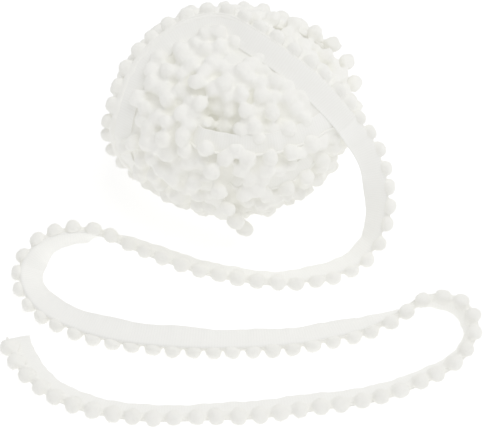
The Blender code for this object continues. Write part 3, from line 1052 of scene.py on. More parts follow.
@dataclass(frozen=True)
class YarnFinish:
    """A white yarn finish.

    Attributes:
        name: The material's name.
        weave: What the surface is made of.
        light: The colour of the tape's raised ribs, painted light on them, and the lighter of the
            yarn's random tones over its tufts and pompoms.
        shade: The colour down between the tape's ribs, painted shade there, and the darker of the
            yarn's random tones over its tufts and pompoms.
        hollow: Painted shade, the colour deep in the winding, or None where there is none.
        relief: The height of its bump.
        tuft: The size of its tufts.
        roughness: The shader's roughness.
        sheen: The weight of the shader's sheen.
        gloss: The strength of the shader's own highlight.
        bump: The strength of its bump.
        painted_glow: A painted glow: the yarn's own emission, which lifts its shade as though
            light
        soaked through the white yarn from all round it.
    """

    name: str
    weave: Weave
    light: Colour
    shade: Colour
    hollow: Colour | None
    relief: float
    tuft: float
    roughness: float = 0.95
    sheen: float = 0.12
    gloss: float = 0.2
    bump: float = 0.8
    # Painted glow: emission in the yarn's light colour that lifts its shade
    painted_glow: float = 0.06

    def material(self) -> bpy.types.Material:
        """Builds the finish's material."""
        material = bpy.data.materials.new(self.name)
        material.use_nodes = True
        tree = material.node_tree
        shader = tree.nodes["Principled BSDF"]
        shader.inputs["Roughness"].default_value = self.roughness
        shader.inputs["Sheen Weight"].default_value = self.sheen
        shader.inputs["Specular IOR Level"].default_value = self.gloss
        # The painted glow: the yarn gives off its light colour, though it is no lamp, to lift its
        # shade
        shader.inputs["Emission Color"].default_value = (*self.light, 1.0)
        shader.inputs["Emission Strength"].default_value = self.painted_glow
        mask, height = self.surface(tree)
        colour = self.mixed(tree, mask, self.shade, self.light)
        # Painted shade: the yarn is darker and warmer the deeper it lies in the winding
        if self.hollow is not None:
            depth = self.placed(tree, hollow_shade_group()).outputs["Mask"]
            colour = self.mixed(tree, depth, colour, self.hollow)
        tree.links.new(colour, shader.inputs["Base Color"])
        bump = tree.nodes.new("ShaderNodeBump")
        bump.inputs["Strength"].default_value = self.bump
        bump.inputs["Distance"].default_value = self.relief
        tree.links.new(height, bump.inputs["Height"])
        tree.links.new(bump.outputs["Normal"], shader.inputs["Normal"])
        return material

    def surface(self, tree: bpy.types.NodeTree) -> tuple[bpy.types.NodeSocket, ...]:
        """The mask and the height of the finish's own weave."""
        tufts = self.placed(tree, tuft_group())
        tufts.inputs["Tuft size"].default_value = self.tuft
        if self.weave is Weave.RIBBED_TAPE:
            ribs = self.placed(tree, rib_group())
            soft = math_node(tree, "MULTIPLY", tufts.outputs["Height"], TUFTS_ON_TAPE)
            height = math_node(tree, "ADD", ribs.outputs["Height"], soft)
            # The ribs paint light on their crests and shade between them; the tufts add random
            # tone
            both = math_node(tree, "ADD", ribs.outputs["Mask"], tufts.outputs["Mask"])
            return math_node(tree, "MULTIPLY", both, RIBBED_SHARE), height
        if self.weave is Weave.CUT_YARN:
            tone = tree.nodes.new("ShaderNodeAttribute")
            tone.attribute_name = TONE
            both = math_node(tree, "ADD", tone.outputs["Fac"], tufts.outputs["Mask"])
            return math_node(tree, "MULTIPLY", both, TUFTED_SHARE), tufts.outputs["Height"]
        return tufts.outputs["Mask"], tufts.outputs["Height"]

    def placed(self, tree: bpy.types.NodeTree, group: bpy.types.NodeTree) -> bpy.types.Node:
        """A node group set in the material."""
        node = tree.nodes.new("ShaderNodeGroup")
        node.node_tree = group
        return node

    def mixed(
        self, tree: bpy.types.NodeTree, mask: bpy.types.NodeSocket, low: object, high: object
    ) -> bpy.types.NodeSocket:
        """Mixes two colours by a mask.

        Args:
            tree: The material's tree.
            mask: 0 for the low colour and 1 for the high one.
            low: A colour or a socket.
            high: A colour or a socket.

        Returns:
            The mixed colour.
        """
        node = tree.nodes.new("ShaderNodeMix")
        node.data_type = "RGBA"
        tree.links.new(mask, node.inputs["Factor"])
        for socket, value in ((node.inputs[6], low), (node.inputs[7], high)):
            if isinstance(value, bpy.types.NodeSocket):
                tree.links.new(value, socket)
            else:
                socket.default_value = (*value, 1.0)
        return node.outputs[2]


TAPE_WHITE = (0.905, 0.9, 0.84)
TAPE_SHADE = (0.845, 0.84, 0.78)
# The wound tape's colours are the tail tape's darkened: painted shade for the turns on the ball
SHADED_WOUND_WHITE = (0.865, 0.86, 0.8)
WOUND_SHADE = (0.8, 0.79, 0.72)
TUFT_WHITE = (0.89, 0.88, 0.805)
TUFT_SHADE = (0.805, 0.795, 0.715)
# Painted shade: a darker, warmer yarn colour deep in the winding
PAINTED_HOLLOW_SHADE = (0.795, 0.785, 0.67)
POMPOMS = YarnFinish(
    "pompom_yarn", Weave.CUT_YARN, TUFT_WHITE, TUFT_SHADE, PAINTED_HOLLOW_SHADE, 0.4 * MM, 1.3 * MM
)
FIBRES = YarnFinish(
    "pompom_fibres", Weave.CORD, TUFT_WHITE, TUFT_WHITE, PAINTED_HOLLOW_SHADE, 0.05 * MM, 0.6 * MM
)
TAPE = YarnFinish(
    "tape_weave", Weave.RIBBED_TAPE, TAPE_WHITE, TAPE_SHADE, None, 0.03 * MM, 1.0 * MM
)
WOUND_TAPE = YarnFinish(
    "wound_tape_weave", Weave.RIBBED_TAPE, SHADED_WOUND_WHITE, WOUND_SHADE, PAINTED_HOLLOW_SHADE, 0.05 * MM, 1.0 * MM
)
CORD = YarnFinish(
    "edge_cord_yarn", Weave.CORD, TUFT_WHITE, TUFT_SHADE, PAINTED_HOLLOW_SHADE, 0.1 * MM, 0.8 * MM
)


@dataclass(frozen=True)
class Dressing:
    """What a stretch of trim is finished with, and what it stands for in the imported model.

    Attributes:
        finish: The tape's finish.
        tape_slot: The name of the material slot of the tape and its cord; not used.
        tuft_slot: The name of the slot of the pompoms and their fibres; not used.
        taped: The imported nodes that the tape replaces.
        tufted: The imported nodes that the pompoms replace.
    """

    finish: YarnFinish
    tape_slot: str
    tuft_slot: str
    taped: Sequence[str]
    tufted: Sequence[str]

    def put_on(self, pieces: Sequence[bpy.types.Object]) -> None:
        """Dresses a stretch's pieces, once they are pressed to the floor.

        Args:
            pieces: Its tape, cord, pompoms and fibres.
        """
        tape, cord, pompoms, fibres = pieces
        for piece in pieces:
            keep_above_floor(piece)
        dress(tape, self.finish, self.taped)
        dress(cord, CORD, [])
        dress(pompoms, POMPOMS, self.tufted)
        dress(fibres, FIBRES, [])


def dress(thing: bpy.types.Object, finish: YarnFinish, nodes: Sequence[str]) -> None:
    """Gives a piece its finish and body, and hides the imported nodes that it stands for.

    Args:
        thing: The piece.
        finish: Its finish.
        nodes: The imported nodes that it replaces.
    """
    thing.data.materials.clear()
    thing.data.materials.append(finish.material())
    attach(thing, BODY)
    if nodes:
        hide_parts(*nodes)
    LOG.info("%s: %d faces", thing.name, len(thing.data.polygons))


# ---- The last turn and the tail ----------------------------------------------------------------


class LastTurn:
    """The last turn's pompom line over the ball, at close even steps.

    Attributes:
        spots: Directions from the ball's centre.
        across: The way over the tape at each, at right angles to it.
        along: The way along the turn.
        lifts: The pompom line's height above the core.
        edges: The height of the tape's free edge above the core.
        lay_over: Which side of the pompoms the tape is on at the turn's start and at its end.
    """

    lay_over = (-0.1, -1.0)

    def __init__(self, wraps: Sequence[Wrap], steps: int) -> None:
        """Reads the turn from its table.

        Args:
            wraps: The table's rows.
            steps: How many rows the line has for each two of them.
        """
        rows = []
        for wrap in wraps:
            spot = heading(wrap.azimuth, wrap.elevation)
            rows.append((*spot, wrap.lift_mm * MM, wrap.edge_mm * MM))
        line = catmull_rom(np.array(rows), steps)
        self.spots = unit(line[:, :3])
        self.lifts, self.edges = line[:, 3], line[:, 4]
        self.across = unit(np.cross(np.gradient(self.spots, axis=0), self.spots))
        self.along = np.cross(self.spots, self.across)

    @property
    def stride(self) -> int:
        """How many rows of the line make about half a pompom's pitch."""
        step = np.linalg.norm(np.diff(self.spots, axis=0), axis=1).mean() * MEAN_RADIUS
        return max(int(0.5 * POMPOM_PITCH / step), 1)

    def beside(self, directions: np.ndarray) -> tuple[np.ndarray, ...]:
        """Where directions are beside the turn.

        Args:
            directions: Directions from the ball's centre.

        Returns:
            The nearest row of the line to each, how far over the tape and how far past that row
            it is, and whether it is on the same half of the ball.
        """
        nearest = np.argmax(directions @ self.spots.T, axis=1)
        offset = np.sum(directions * self.across[nearest], axis=1) * MEAN_RADIUS
        past = np.abs(np.sum(directions * self.along[nearest], axis=1)) * MEAN_RADIUS
        facing = np.sum(directions * self.spots[nearest], axis=1) > 0.0
        return nearest, offset, past, facing

    def covers(self, directions: np.ndarray, inset: float) -> np.ndarray:
        """Whether the tape, less an inset at both edges, lies over each direction."""
        _, offset, past, facing = self.beside(directions)
        on_tape = (offset > WOUND_TAPE_NEAR + inset) & (offset < TAPE_FAR - inset)
        return facing & on_tape & (past < 0.5 * POMPOM_PITCH)

    def support(self, directions: np.ndarray, reach: float) -> tuple[np.ndarray, np.ndarray]:
        """How high the tape stands over each direction, and how much that is felt there.

        Args:
            directions: Directions from the ball's centre.
            reach: How far beside the tape the winding is still swollen.

        Returns:
            The tape's height above the core, and a share: 1 under it and 0 out of reach.
        """
        nearest, offset, past, facing = self.beside(directions)
        share = np.clip(offset / TAPE_FAR, 0.0, 1.0)
        lifts, edges = self.lifts[nearest], self.edges[nearest]
        beside = np.maximum(np.maximum(offset - TAPE_FAR, -offset), 0.0)
        felt = 1.0 - smooth_step(np.hypot(beside, past) / reach)
        return lifts + (edges - lifts) * share, np.where(facing, felt, 0.0)

    def run(self) -> Run:
        """The turn as a run of trim."""
        centre = BALL_CENTRE + self.spots * (core_radius(self.spots) + self.lifts)[:, None]
        turned = TAPE_FAR / MEAN_RADIUS
        beside = self.spots * math.cos(turned) + self.across * math.sin(turned)
        edge = BALL_CENTRE + beside * (core_radius(beside) + self.edges)[:, None]
        across = unit(edge - centre)
        wrap = np.full(len(centre), -1.0 / MEAN_RADIUS)
        lay = np.linspace(*self.lay_over, len(centre))
        return Run(centre, across, np.cross(self.along, across), wrap, lay)


@dataclass
class LooseTrim:
    """The last turn and the loose tail: one stretch of trim, from under the ball to its cut end.

    Attributes:
        curve_steps: Rows of its line between two bends.
        tape_thickness: The heading tape's thickness.
        rib_pitch: The distance between two of the tape's ribs.
        rib_height: How far the ribs stand out.
        rows_a_rib: Rows of the tape's mesh for each rib.
        edge_wave: How uneven the tape's free edge is.
        edge_wave_length: The length of that unevenness.
        ripple: How the free edge rises and falls.
        droop: How far the free edge of level tape hangs.
        droop_top: It does so where the pompom line is lower than this.
        droop_fade: The height over which it stops.
        droop_room: The height off the floor that the free edge needs for it.
        edge_cord: The twisted cord along the tape's edge.
        cord_step: The distance between two rows of its mesh.
        root_cord: The pompoms' bound yarn.
        first_pompom: Where the first pompom is along the tail.
        bare_end: The length of tape past the last pompom.
        ease: The length over which the turn passes into the tail.
        changes_sides: Where along the tail the tape passes from over its pompoms to under them.
        change_length: The length over which it does.
        parting: The gap between the two tapes where the tail starts.
        tufts: The pompoms and their fibres.
        pompom_overlap: How far pompoms' middles lie towards the tape, or off it on the ball.
        uneven: How far they are off their even places along it.
        tilt: How far they lean.
        sizes: The least and the most of their usual size that they have.
        settled: How high a pompom's middle is off the floor, against its radius.
    """

    curve_steps: int = 16
    tape_thickness: float = 0.7 * MM
    rib_pitch: float = 1.6 * MM
    rib_height: float = 0.09 * MM
    rows_a_rib: int = 4
    edge_wave: float = 0.5 * MM
    edge_wave_length: float = 43.0 * MM
    ripple: Wave = Wave(17.0 * MM, 0.35 * MM)
    droop: float = 1.2 * MM
    droop_top: float = 16.0 * MM
    droop_fade: float = 4.0 * MM
    droop_room: float = 3.0 * MM
    edge_cord: Cord = Cord(offset=(1.1 * MM, 1.1 * MM), radius=0.85 * MM, sides=8, twist=2.4 * MM)
    cord_step: float = 0.8 * MM
    root_cord: Cord = Cord(offset=(2.4 * MM, -0.3 * MM), radius=1.8 * MM, sides=8)
    first_pompom: float = 3.0 * MM
    bare_end: float = 8.0 * MM
    ease: float = 26.0 * MM
    changes_sides: float = 143.0 * MM
    change_length: float = 26.0 * MM
    parting: float = 0.02 * MM
    tufts: Tufts = Tufts(
        pompom=Pompom(
            radius=5.05 * MM,
            cuts=2,
            rounds=2,
            lump=0.7 * MM,
            stretch=1.12,
            waist=0.0,
            press=0.1,
            tongue=1.22,
        ),
        kinds=9,
        fuzz=Fuzz(count=420, length=0.9 * MM, width=0.14 * MM),
        grain=0.9 * MM,
        smoothing=3,
    )
    pompom_overlap: float = 0.9 * MM
    uneven: float = 0.6 * MM
    tilt: float = 0.15
    sizes: tuple[float, float] = (0.94, 1.05)
    settled: float = 0.75

    def __post_init__(self) -> None:
        """Joins the turn and the tail into one run."""
        self.turn = LastTurn(LAST_TURN, self.curve_steps)
        wound, loose = self.turn.run(), self.tail_run()
        joined = Run(*(np.concatenate(both) for both in zip(wound.rows, loose.rows)))
        self.joint = float(joined.reached[len(wound.centre)])
        self.whole = float(joined.reached[-1])
        self.length = self.whole - self.joint
        self.run = self.eased(joined)

    def tail_run(self) -> Run:
        """A smooth curve through the tail's bends, with the tape's frame at each row."""
        knots = np.array([(b.x_mm * MM, b.y_mm * MM, b.z_mm * MM, b.roll) for b in TAIL_BENDS])
        points = catmull_rom(knots, self.curve_steps)
        points[:, 2] = np.maximum(points[:, 2], POMPOM_RADIUS)
        centre = points[:, :3]
        reached = distances_along(centre)
        reach = 0.25 * POMPOM_PITCH
        ahead = read_rows(centre, reached, reached + reach)
        along = unit(ahead - read_rows(centre, reached, reached - reach))
        right = unit(np.cross(along, (0.0, 0.0, 1.0)))
        upward = np.cross(right, along)
        roll = np.radians(points[:, 3:4])
        across = right * np.cos(roll) + upward * np.sin(roll)
        passed = (reached - self.changes_sides) / self.change_length + 0.5
        lay = 2.0 * smooth_step(passed) - 1.0
        return Run(centre, across, np.cross(along, across), np.zeros(len(centre)), lay)

    def eased(self, joined: Run) -> Run:
        """The run with its line, its frame and its wrap passing smoothly over the joint."""
        step = 1.0 * MM
        distances = np.arange(0.0, self.whole + step, step)
        run = joined.at(np.minimum(distances, self.whole))
        share = np.exp(-(((distances - self.joint) / self.ease) ** 2))[:, None]
        width = int(self.ease / step / 2.0)
        kernel = np.ones(2 * width + 1) / (2 * width + 1)

        def softened(values: np.ndarray) -> np.ndarray:
            """The values, evened out near the joint."""
            padded = np.pad(values, ((width, width), (0, 0)), mode="edge")
            soft = [np.convolve(column, kernel, "valid") for column in padded.T]
            return values + (np.stack(soft, axis=1) - values) * share

        centre = softened(run.centre)
        along = unit(np.gradient(centre, axis=0))
        across = square_to(softened(run.across), along)
        wrap = softened(run.wrap[:, None])[:, 0]
        return Run(centre, across, np.cross(along, across), wrap, run.lay)

    def tape(self, name: str, start: float, end: float) -> bpy.types.Object:
        """The heading tape between two distances, with its ribs and its uneven free edge."""
        count = int((end - start) / self.rib_pitch * self.rows_a_rib)
        distances = np.linspace(start, end, count + 1)
        grid, mapped = self.tape_grid(self.run.at(distances), distances - self.joint)
        return band_object(name, [grid], [mapped], self.tape_thickness)

    def tape_grid(self, run: Run, distances: np.ndarray) -> tuple[np.ndarray, np.ndarray]:
        """The points of the ribbed tape along a run, and where each is on the tape.

        Args:
            run: The stretch that it follows.
            distances: The distance from the joint at each row.

        Returns:
            The points by row and place across, and their distances along and across.
        """
        table = np.array(TAIL_PROFILE)
        share = (table[:, 0] - table[0, 0]) / (table[-1, 0] - table[0, 0])
        wave = np.sin(2.0 * math.pi * distances / self.edge_wave_length) * self.edge_wave
        widths = table[:, 0] * MM + wave[:, None] * share
        ribs = 0.5 + 0.5 * np.cos(2.0 * math.pi * distances / self.rib_pitch)
        heights = run.lay[:, None] * table[:, 1] * MM
        heights = heights + ribs[:, None] * table[:, 2] * self.rib_height
        clear = run.centre[:, 2] + run.across[:, 2] * TAPE_FAR - self.tape_thickness
        low = smooth_step((self.droop_top - run.centre[:, 2]) / self.droop_fade)
        level = run.normal[:, 2] * low * smooth_step(clear / self.droop_room)
        sway = self.ripple.at(distances, RIPPLE_SEED) - level * self.droop
        heights = heights + sway[:, None] * share**2
        return run.spread(widths, heights), mapped_at(distances, widths)

    def cord(self, name: str, start: float, end: float) -> bpy.types.Object:
        """The twisted cord along the tape's edge between two distances."""
        count = int((end - start) / self.cord_step)
        return self.edge_cord.along(name, [self.run.at(np.linspace(start, end, count + 1))])

    def roots(self, start: float, end: float) -> bpy.types.Object:
        """The pompoms' bound yarn, which runs along the tape's edge from each to the next."""
        inset = self.cord_step
        count = int((end - start) / self.tufts.pompom.radius)
        run = self.run.at(np.linspace(start + inset, end - inset, 2 * count + 1))
        return self.root_cord.along("roots", [run])

    def places(self, start: float, end: float) -> list[Matrix]:
        """Where the pompoms between two distances go; those on the floor rest on it."""
        first = self.joint + self.first_pompom
        number, last = (math.ceil((place - first) / POMPOM_PITCH) for place in (start, end))
        distances = first + np.arange(number, last) * POMPOM_PITCH
        chance = random.Random(TRIM_SEED)
        off = [chance.uniform(-self.uneven, self.uneven) for _ in distances]
        uneven = distances + np.array(off)
        run = self.run.at(uneven)
        places = []
        faces = run.normal * np.where(run.lay < 0.0, -1.0, 1.0)[:, None]
        overlaps = np.where(uneven < self.joint, -self.pompom_overlap, self.pompom_overlap)
        for centre, across, face, overlap in zip(run.centre, run.across, faces, overlaps):
            tilt = [chance.uniform(-self.tilt, self.tilt) for _ in range(3)]
            size = [chance.uniform(*self.sizes) for _ in range(3)]
            middle = centre + across * overlap
            middle[2] = max(middle[2], self.tufts.pompom.radius * size[2] * self.settled)
            places.append(pompom_place(middle, across + np.array(tilt), face, size))
        return places

    def build(self) -> None:
        """Makes and dresses the pieces of the last turn and of the tail."""
        fringes = sorted(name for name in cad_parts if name.startswith("tail_fringe"))
        wound = Dressing(WOUND_TAPE, WOUND_SLOT, WOUND_SLOT, ["ball"], ["ball"])
        loose = Dressing(TAPE, TAPE_SLOT, TUFT_SLOT, ["tail_tape"], fringes)
        self.stretch("last_turn", (0.0, self.joint - self.parting), 0.0, wound)
        self.stretch("tail", (self.joint, self.whole), self.bare_end, loose)

    def stretch(
        self, name: str, span: tuple[float, float], bare: float, dressing: Dressing
    ) -> None:
        """Makes and dresses the tape, the cord, the pompoms and the fibres of a stretch.

        Args:
            name: What its pieces' names start with.
            span: Where it starts and ends along the run.
            bare: The length at its end that has no pompoms.
            dressing: What its pieces are finished with and stand for.
        """
        start, end = span
        tape = self.tape(f"{name}_tape_weave", start, end)
        cord = self.cord(f"{name}_edge_cord", start, end)
        last = end - bare
        soft = self.tufts.build(name, self.places(start, last), self.roots(start, last))
        dressing.put_on((tape, cord, *soft))


# ---- The wound ball ----------------------------------------------------------------------------


@dataclass
class WoundBall:
    """The ball of wound trim: its outer turns, the turns that show between them, and the rest.

    Attributes:
        last_turn: The turn that lies over all of them.
        fill_turns: How many turns show between the outer ones.
        fill_low: The lowest lift of these turns off the core.
        fill_high: Their highest lift.
        fill_shift: How far they are moved to one side of the ball at most, in degrees.
        fill_sweep: The least and the most degrees that they run through.
        fill_stride: How far apart in tilt each is from the next, counted in turns.
        row_step: The distance between two rows of the wound tape.
        least_rows: The least rows that a turn has.
        end_dive: How deep a turn's end goes under its neighbours.
        dive_length: The length over which it does.
        sunk: How far below its pompoms' line the tape of a crowded turn lies.
        rise: How a turn's lift rises and falls along it.
        lean: How its tape leans over.
        buckle: How its tape buckles.
        buckle_skew: How far those buckles run on along the tape for each step across it.
        tape_thickness: The wound tape's thickness.
        edge_cord: The cord along the edge of every turn.
        pompom_seat: How far a pompom's middle is above its turn.
        closest: The least distance between two pompoms.
        fill_closest: That distance where one of them is a fill turn's.
        fill_sites: How many places are tried for the pompoms that peep out between the turns.
        turn_sizes: The least and the most of their usual size that the turns' pompoms have.
        peep_sizes: The same of the pompoms that peep out.
        tilt: How far the turns' pompoms lean.
        turned_in: How much they are turned towards their tape, and as much towards the core.
        peep_turned_in: How much those that peep out are turned towards the core.
        bare_inset: How far inside a bare tape's edges the turns beneath it have no pompoms.
        bare_peep_inset: How far inside them none peep out.
        last_peep_inset: How far inside the last turn's edges none peep out.
        last_margin: How far beside the last turn a pompom counts as covered by it.
        lowest: The lowest direction that has a pompom, in degrees.
        inner_depth: How far the inner turns' surface lies under the core.
        inner_step: How much one inner turn stands over the next.
        inner_steps: How many such steps there are.
        swell: How far beside the last turn the winding is swollen.
        under_tape: How far the swollen winding stays under the last turn's tape.
        under_bare: How far the tape of the turns that show does.
        under_pompoms: How far the middles of its pompoms do, beside the tape.
        hidden_under: How far they do where the tape covers them.
        under_crowded: How far they do where they crowd over the tape's edge.
        crowded_left: They do so where a direction's X is less than this.
        tufts: The pompoms and their fibres.
    """

    last_turn: LastTurn
    fill_turns: int = 64
    fill_low: float = -3.5 * MM
    fill_high: float = 1.5 * MM
    fill_shift: float = 38.0
    fill_sweep: tuple[float, float] = (150.0, 300.0)
    fill_stride: int = 7
    row_step: float = 2.4 * MM
    least_rows: int = 8
    end_dive: float = 7.0 * MM
    dive_length: float = 14.0 * MM
    sunk: float = 4.0 * MM
    rise: Wave = Wave(23.0 * MM, 0.5 * MM)
    lean: Wave = Wave(31.0 * MM, 0.8 * MM)
    buckle: Wave = Wave(13.0 * MM, 0.4 * MM)
    buckle_skew: float = 0.7
    tape_thickness: float = 0.7 * MM
    edge_cord: Cord = Cord(offset=(1.7 * MM, 0.0), radius=0.8 * MM, sides=5)
    pompom_seat: float = 1.2 * MM
    closest: float = 7.0 * MM
    fill_closest: float = 6.5 * MM
    fill_sites: int = 3200
    turn_sizes: tuple[float, float] = (0.88, 1.08)
    peep_sizes: tuple[float, float] = (0.86, 1.06)
    tilt: float = 0.25
    turned_in: float = 0.7
    peep_turned_in: float = 0.8
    bare_inset: float = 1.5 * MM
    bare_peep_inset: float = 3.5 * MM
    last_peep_inset: float = 5.0 * MM
    last_margin: float = 1.0 * MM
    lowest: float = -64.0
    inner_depth: float = 1.0 * MM
    inner_step: float = 0.35 * MM
    inner_steps: int = 5
    swell: float = 18.0 * MM
    under_tape: float = 3.4 * MM
    under_bare: float = 2.6 * MM
    under_pompoms: float = 6.0 * MM
    hidden_under: float = 9.0 * MM
    under_crowded: float = 1.0 * MM
    crowded_left: float = 0.0
    tufts: Tufts = Tufts(
        pompom=Pompom(
            radius=5.1 * MM, cuts=2, rounds=0, lump=0.9 * MM, stretch=1.1, waist=0.4 * MM
        ),
        kinds=16,
        fuzz=Fuzz(count=70, length=1.0 * MM, width=0.22 * MM),
        grain=1.2 * MM,
        smoothing=2,
    )

    def __post_init__(self) -> None:
        """Works out the turns between the outer ones."""
        self.turns = [*self.make_fill_turns(), *TURNS]

    def make_fill_turns(self) -> list[Turn]:
        """Turns spread over every direction, the deepest first."""
        chance = random.Random(FILL_SEED)
        turns = []
        for number in range(self.fill_turns):
            share = (number + 0.5) / self.fill_turns
            lift = (self.fill_low + (self.fill_high - self.fill_low) * share) / MM
            order = (number * self.fill_stride % self.fill_turns + 0.5) / self.fill_turns
            tilt = math.degrees(math.acos(1.0 - order))
            shift = chance.uniform(-self.fill_shift, self.fill_shift)
            sweep = chance.uniform(*self.fill_sweep)
            side = Side.TOWARDS if chance.random() < 0.5 else Side.AWAY
            start = chance.uniform(0.0, 360.0)
            azimuth = number * math.degrees(GOLDEN_ANGLE) % 360.0
            name = f"fill_{number:02d}"
            turns.append(Turn(name, azimuth, tilt, shift, start, sweep, lift, lift, side))
        return turns

    def axes(self, turn: Turn) -> tuple[np.ndarray, np.ndarray, np.ndarray]:
        """The turn's normal, and the two directions in its plane that its angle is from."""
        azimuth, tilt = math.radians(turn.azimuth), math.radians(turn.tilt)
        level = math.sin(tilt)
        normal = np.array((math.cos(azimuth) * level, math.sin(azimuth) * level, math.cos(tilt)))
        across = np.array((-math.sin(azimuth), math.cos(azimuth), 0.0))
        return normal, across, np.cross(normal, across)

    def directions(self, turn: Turn, angles: np.ndarray, offset: float) -> np.ndarray:
        """Directions from the ball's centre to points of a turn, moved sideways by offset."""
        normal, across, along = self.axes(turn)
        latitude = math.radians(turn.shift) + turn.side.value * offset / MEAN_RADIUS
        turned = np.radians(angles)[:, None]
        ring = np.cos(turned) * across + np.sin(turned) * along
        return ring * math.cos(latitude) + normal * math.sin(latitude)

    def length(self, turn: Turn) -> float:
        """The length of a turn over the ball."""
        return math.radians(turn.sweep) * MEAN_RADIUS * math.cos(math.radians(turn.shift))

    def spread_over(self, turn: Turn, spacing: float) -> np.ndarray:
        """Angles along a turn that are about spacing apart."""
        count = max(int(self.length(turn) / spacing), 1)
        return turn.start + turn.sweep * (np.arange(count) + 0.5) / count

    def lift(self, turn: Turn, angles: np.ndarray) -> np.ndarray:
        """A turn's lift off the core at angles along it."""
        share = (angles - turn.start) / turn.sweep
        return (turn.lift_mm + (turn.end_mm - turn.lift_mm) * smooth_step(share * 2.0 - 1.0)) * MM

    def covers(self, turn: Turn, directions: np.ndarray, inset: float) -> np.ndarray:
        """Whether the turn's tape, less an inset at both edges, lies over each direction."""
        normal, across, along = self.axes(turn)
        latitude = np.arcsin(np.clip(directions @ normal, -1.0, 1.0))
        offset = (latitude - math.radians(turn.shift)) * turn.side.value * MEAN_RADIUS
        turned = np.degrees(np.arctan2(directions @ along, directions @ across))
        shown = (turned - turn.start) % 360.0 <= turn.sweep
        return shown & (offset > WOUND_TAPE_NEAR + inset) & (offset < WOUND_TAPE_FAR - inset)

    def turn_run(self, turn: Turn, seed: int) -> Run:
        """The run of one turn over the ball, its ends tucked under its neighbours."""
        length = self.length(turn)
        count = max(int(length / self.row_step), self.least_rows)
        angles = turn.start + turn.sweep * np.arange(count + 1) / count
        reached = length * np.arange(count + 1) / count
        middle = self.directions(turn, angles, 0.0)
        edge = self.directions(turn, angles, WOUND_TAPE_FAR)
        lift = self.lift(turn, angles) + self.rise.at(reached, seed)
        lean = self.lean.at(reached, seed + LEAN_SEEDS)
        into = reached if turn.name == HANGING else np.minimum(reached, length - reached)
        lift = lift - self.end_dive * (1.0 - smooth_step(into / self.dive_length))
        if turn.name in BARE_TAPE:
            lift = self.swollen(middle, lift, self.under_bare)
        else:
            lift = self.swollen(middle, lift - self.sunk, math.inf)
            lean = lean - np.maximum(self.hollowed(edge) - self.hollowed(middle), 0.0)
        centre = BALL_CENTRE + middle * (core_radius(middle) + lift)[:, None]
        drop = WOUND_TAPE_FAR**2 / MEAN_RADIUS / 2.0
        far = BALL_CENTRE + edge * (core_radius(edge) + lift + lean + drop)[:, None]
        across = unit(far - centre)
        level = np.ones(len(centre))
        return Run(centre, across, square_to(middle, across), level / MEAN_RADIUS, level)

    def tape(self, runs: Sequence[Run]) -> bpy.types.Object:
        """The wound tape of every turn, along the turns' runs."""
        grids, maps = [], []
        table = np.array(WOUND_PROFILE)
        widths = table[:, 0] * MM
        for seed, (turn, run) in enumerate(zip(self.turns, runs)):
            distances = run.reached
            buckle = self.buckle.at(distances[:, None] + widths * self.buckle_skew, seed)
            grid = run.spread(widths, table[:, 1] * MM + buckle)
            mapped = mapped_at(distances, widths)
            if turn.side is Side.TOWARDS:
                grid, mapped = grid[:, ::-1], mapped[:, ::-1]
            grids.append(grid)
            maps.append(mapped)
        return band_object("ball_tape_weave", grids, maps, self.tape_thickness)

    def swollen(self, directions: np.ndarray, lifts: np.ndarray, under: float) -> np.ndarray:
        """Lifts off the core, raised beneath the last turn and sunk where the winding parts.

        Args:
            directions: Directions from the ball's centre.
            lifts: The lifts off the core there.
            under: How far under the last turn they may reach.

        Returns:
            The lifts as raised and sunk.
        """
        height, felt = self.last_turn.support(directions, self.swell)
        return lifts + np.maximum(height - under - lifts, 0.0) * felt - self.hollowed(directions)

    def hollowed(self, directions: np.ndarray) -> np.ndarray:
        """How far the hollows between the turns sink the winding at each direction."""
        sunk = np.zeros(len(directions))
        for hollow in HOLLOWS:
            middle = heading(hollow.azimuth, hollow.elevation)
            away = np.linalg.norm(directions - middle, axis=1) * MEAN_RADIUS
            rising = smooth_step(away / (hollow.radius_mm * MM) - HOLLOW_FLOOR)
            sunk += hollow.depth_mm * MM * (1.0 - rising)
        return sunk

    def places(self) -> list[Matrix]:
        """Where the pompoms go that no outer tape or pompom hides, outermost first."""
        chance = random.Random(BALL_SEED)
        lowest = math.sin(math.radians(self.lowest))
        kept = self.last_turn.spots[:: self.last_turn.stride]
        places = []
        for index in range(len(self.turns) - 1, -1, -1):
            turn = self.turns[index]
            apart_least = self.fill_closest if turn.name.startswith("fill") else self.closest
            angles = self.spread_over(turn, POMPOM_PITCH)
            row = self.directions(turn, angles, 0.0)
            edge = self.directions(turn, angles, WOUND_TAPE_FAR)
            hidden = (row[:, 2] < lowest) | self.last_turn.covers(row, 0.0)
            for over in self.turns[index + 1 :]:
                if over.name in BARE_TAPE:
                    hidden |= self.covers(over, row, self.bare_inset)
            lifts = self.swollen(row, self.lift(turn, angles), self.under_pompoms)
            for direction, far, lift, gone in zip(row, edge, lifts, hidden):
                apart = np.linalg.norm(kept - direction, axis=1) * MEAN_RADIUS
                if gone or apart.min() < apart_least:
                    continue
                kept = np.vstack((kept, direction))
                tilt = np.array([chance.uniform(-self.tilt, self.tilt) for _ in range(3)])
                size = [chance.uniform(*self.turn_sizes) for _ in range(3)]
                lean = unit((unit(far - direction) - direction) * self.turned_in + tilt)
                places.append(self.seated(direction, lift, lean, size))
        places.extend(self.peeping(kept, lowest))
        LOG.info("%d pompoms on the ball", len(places))
        return places

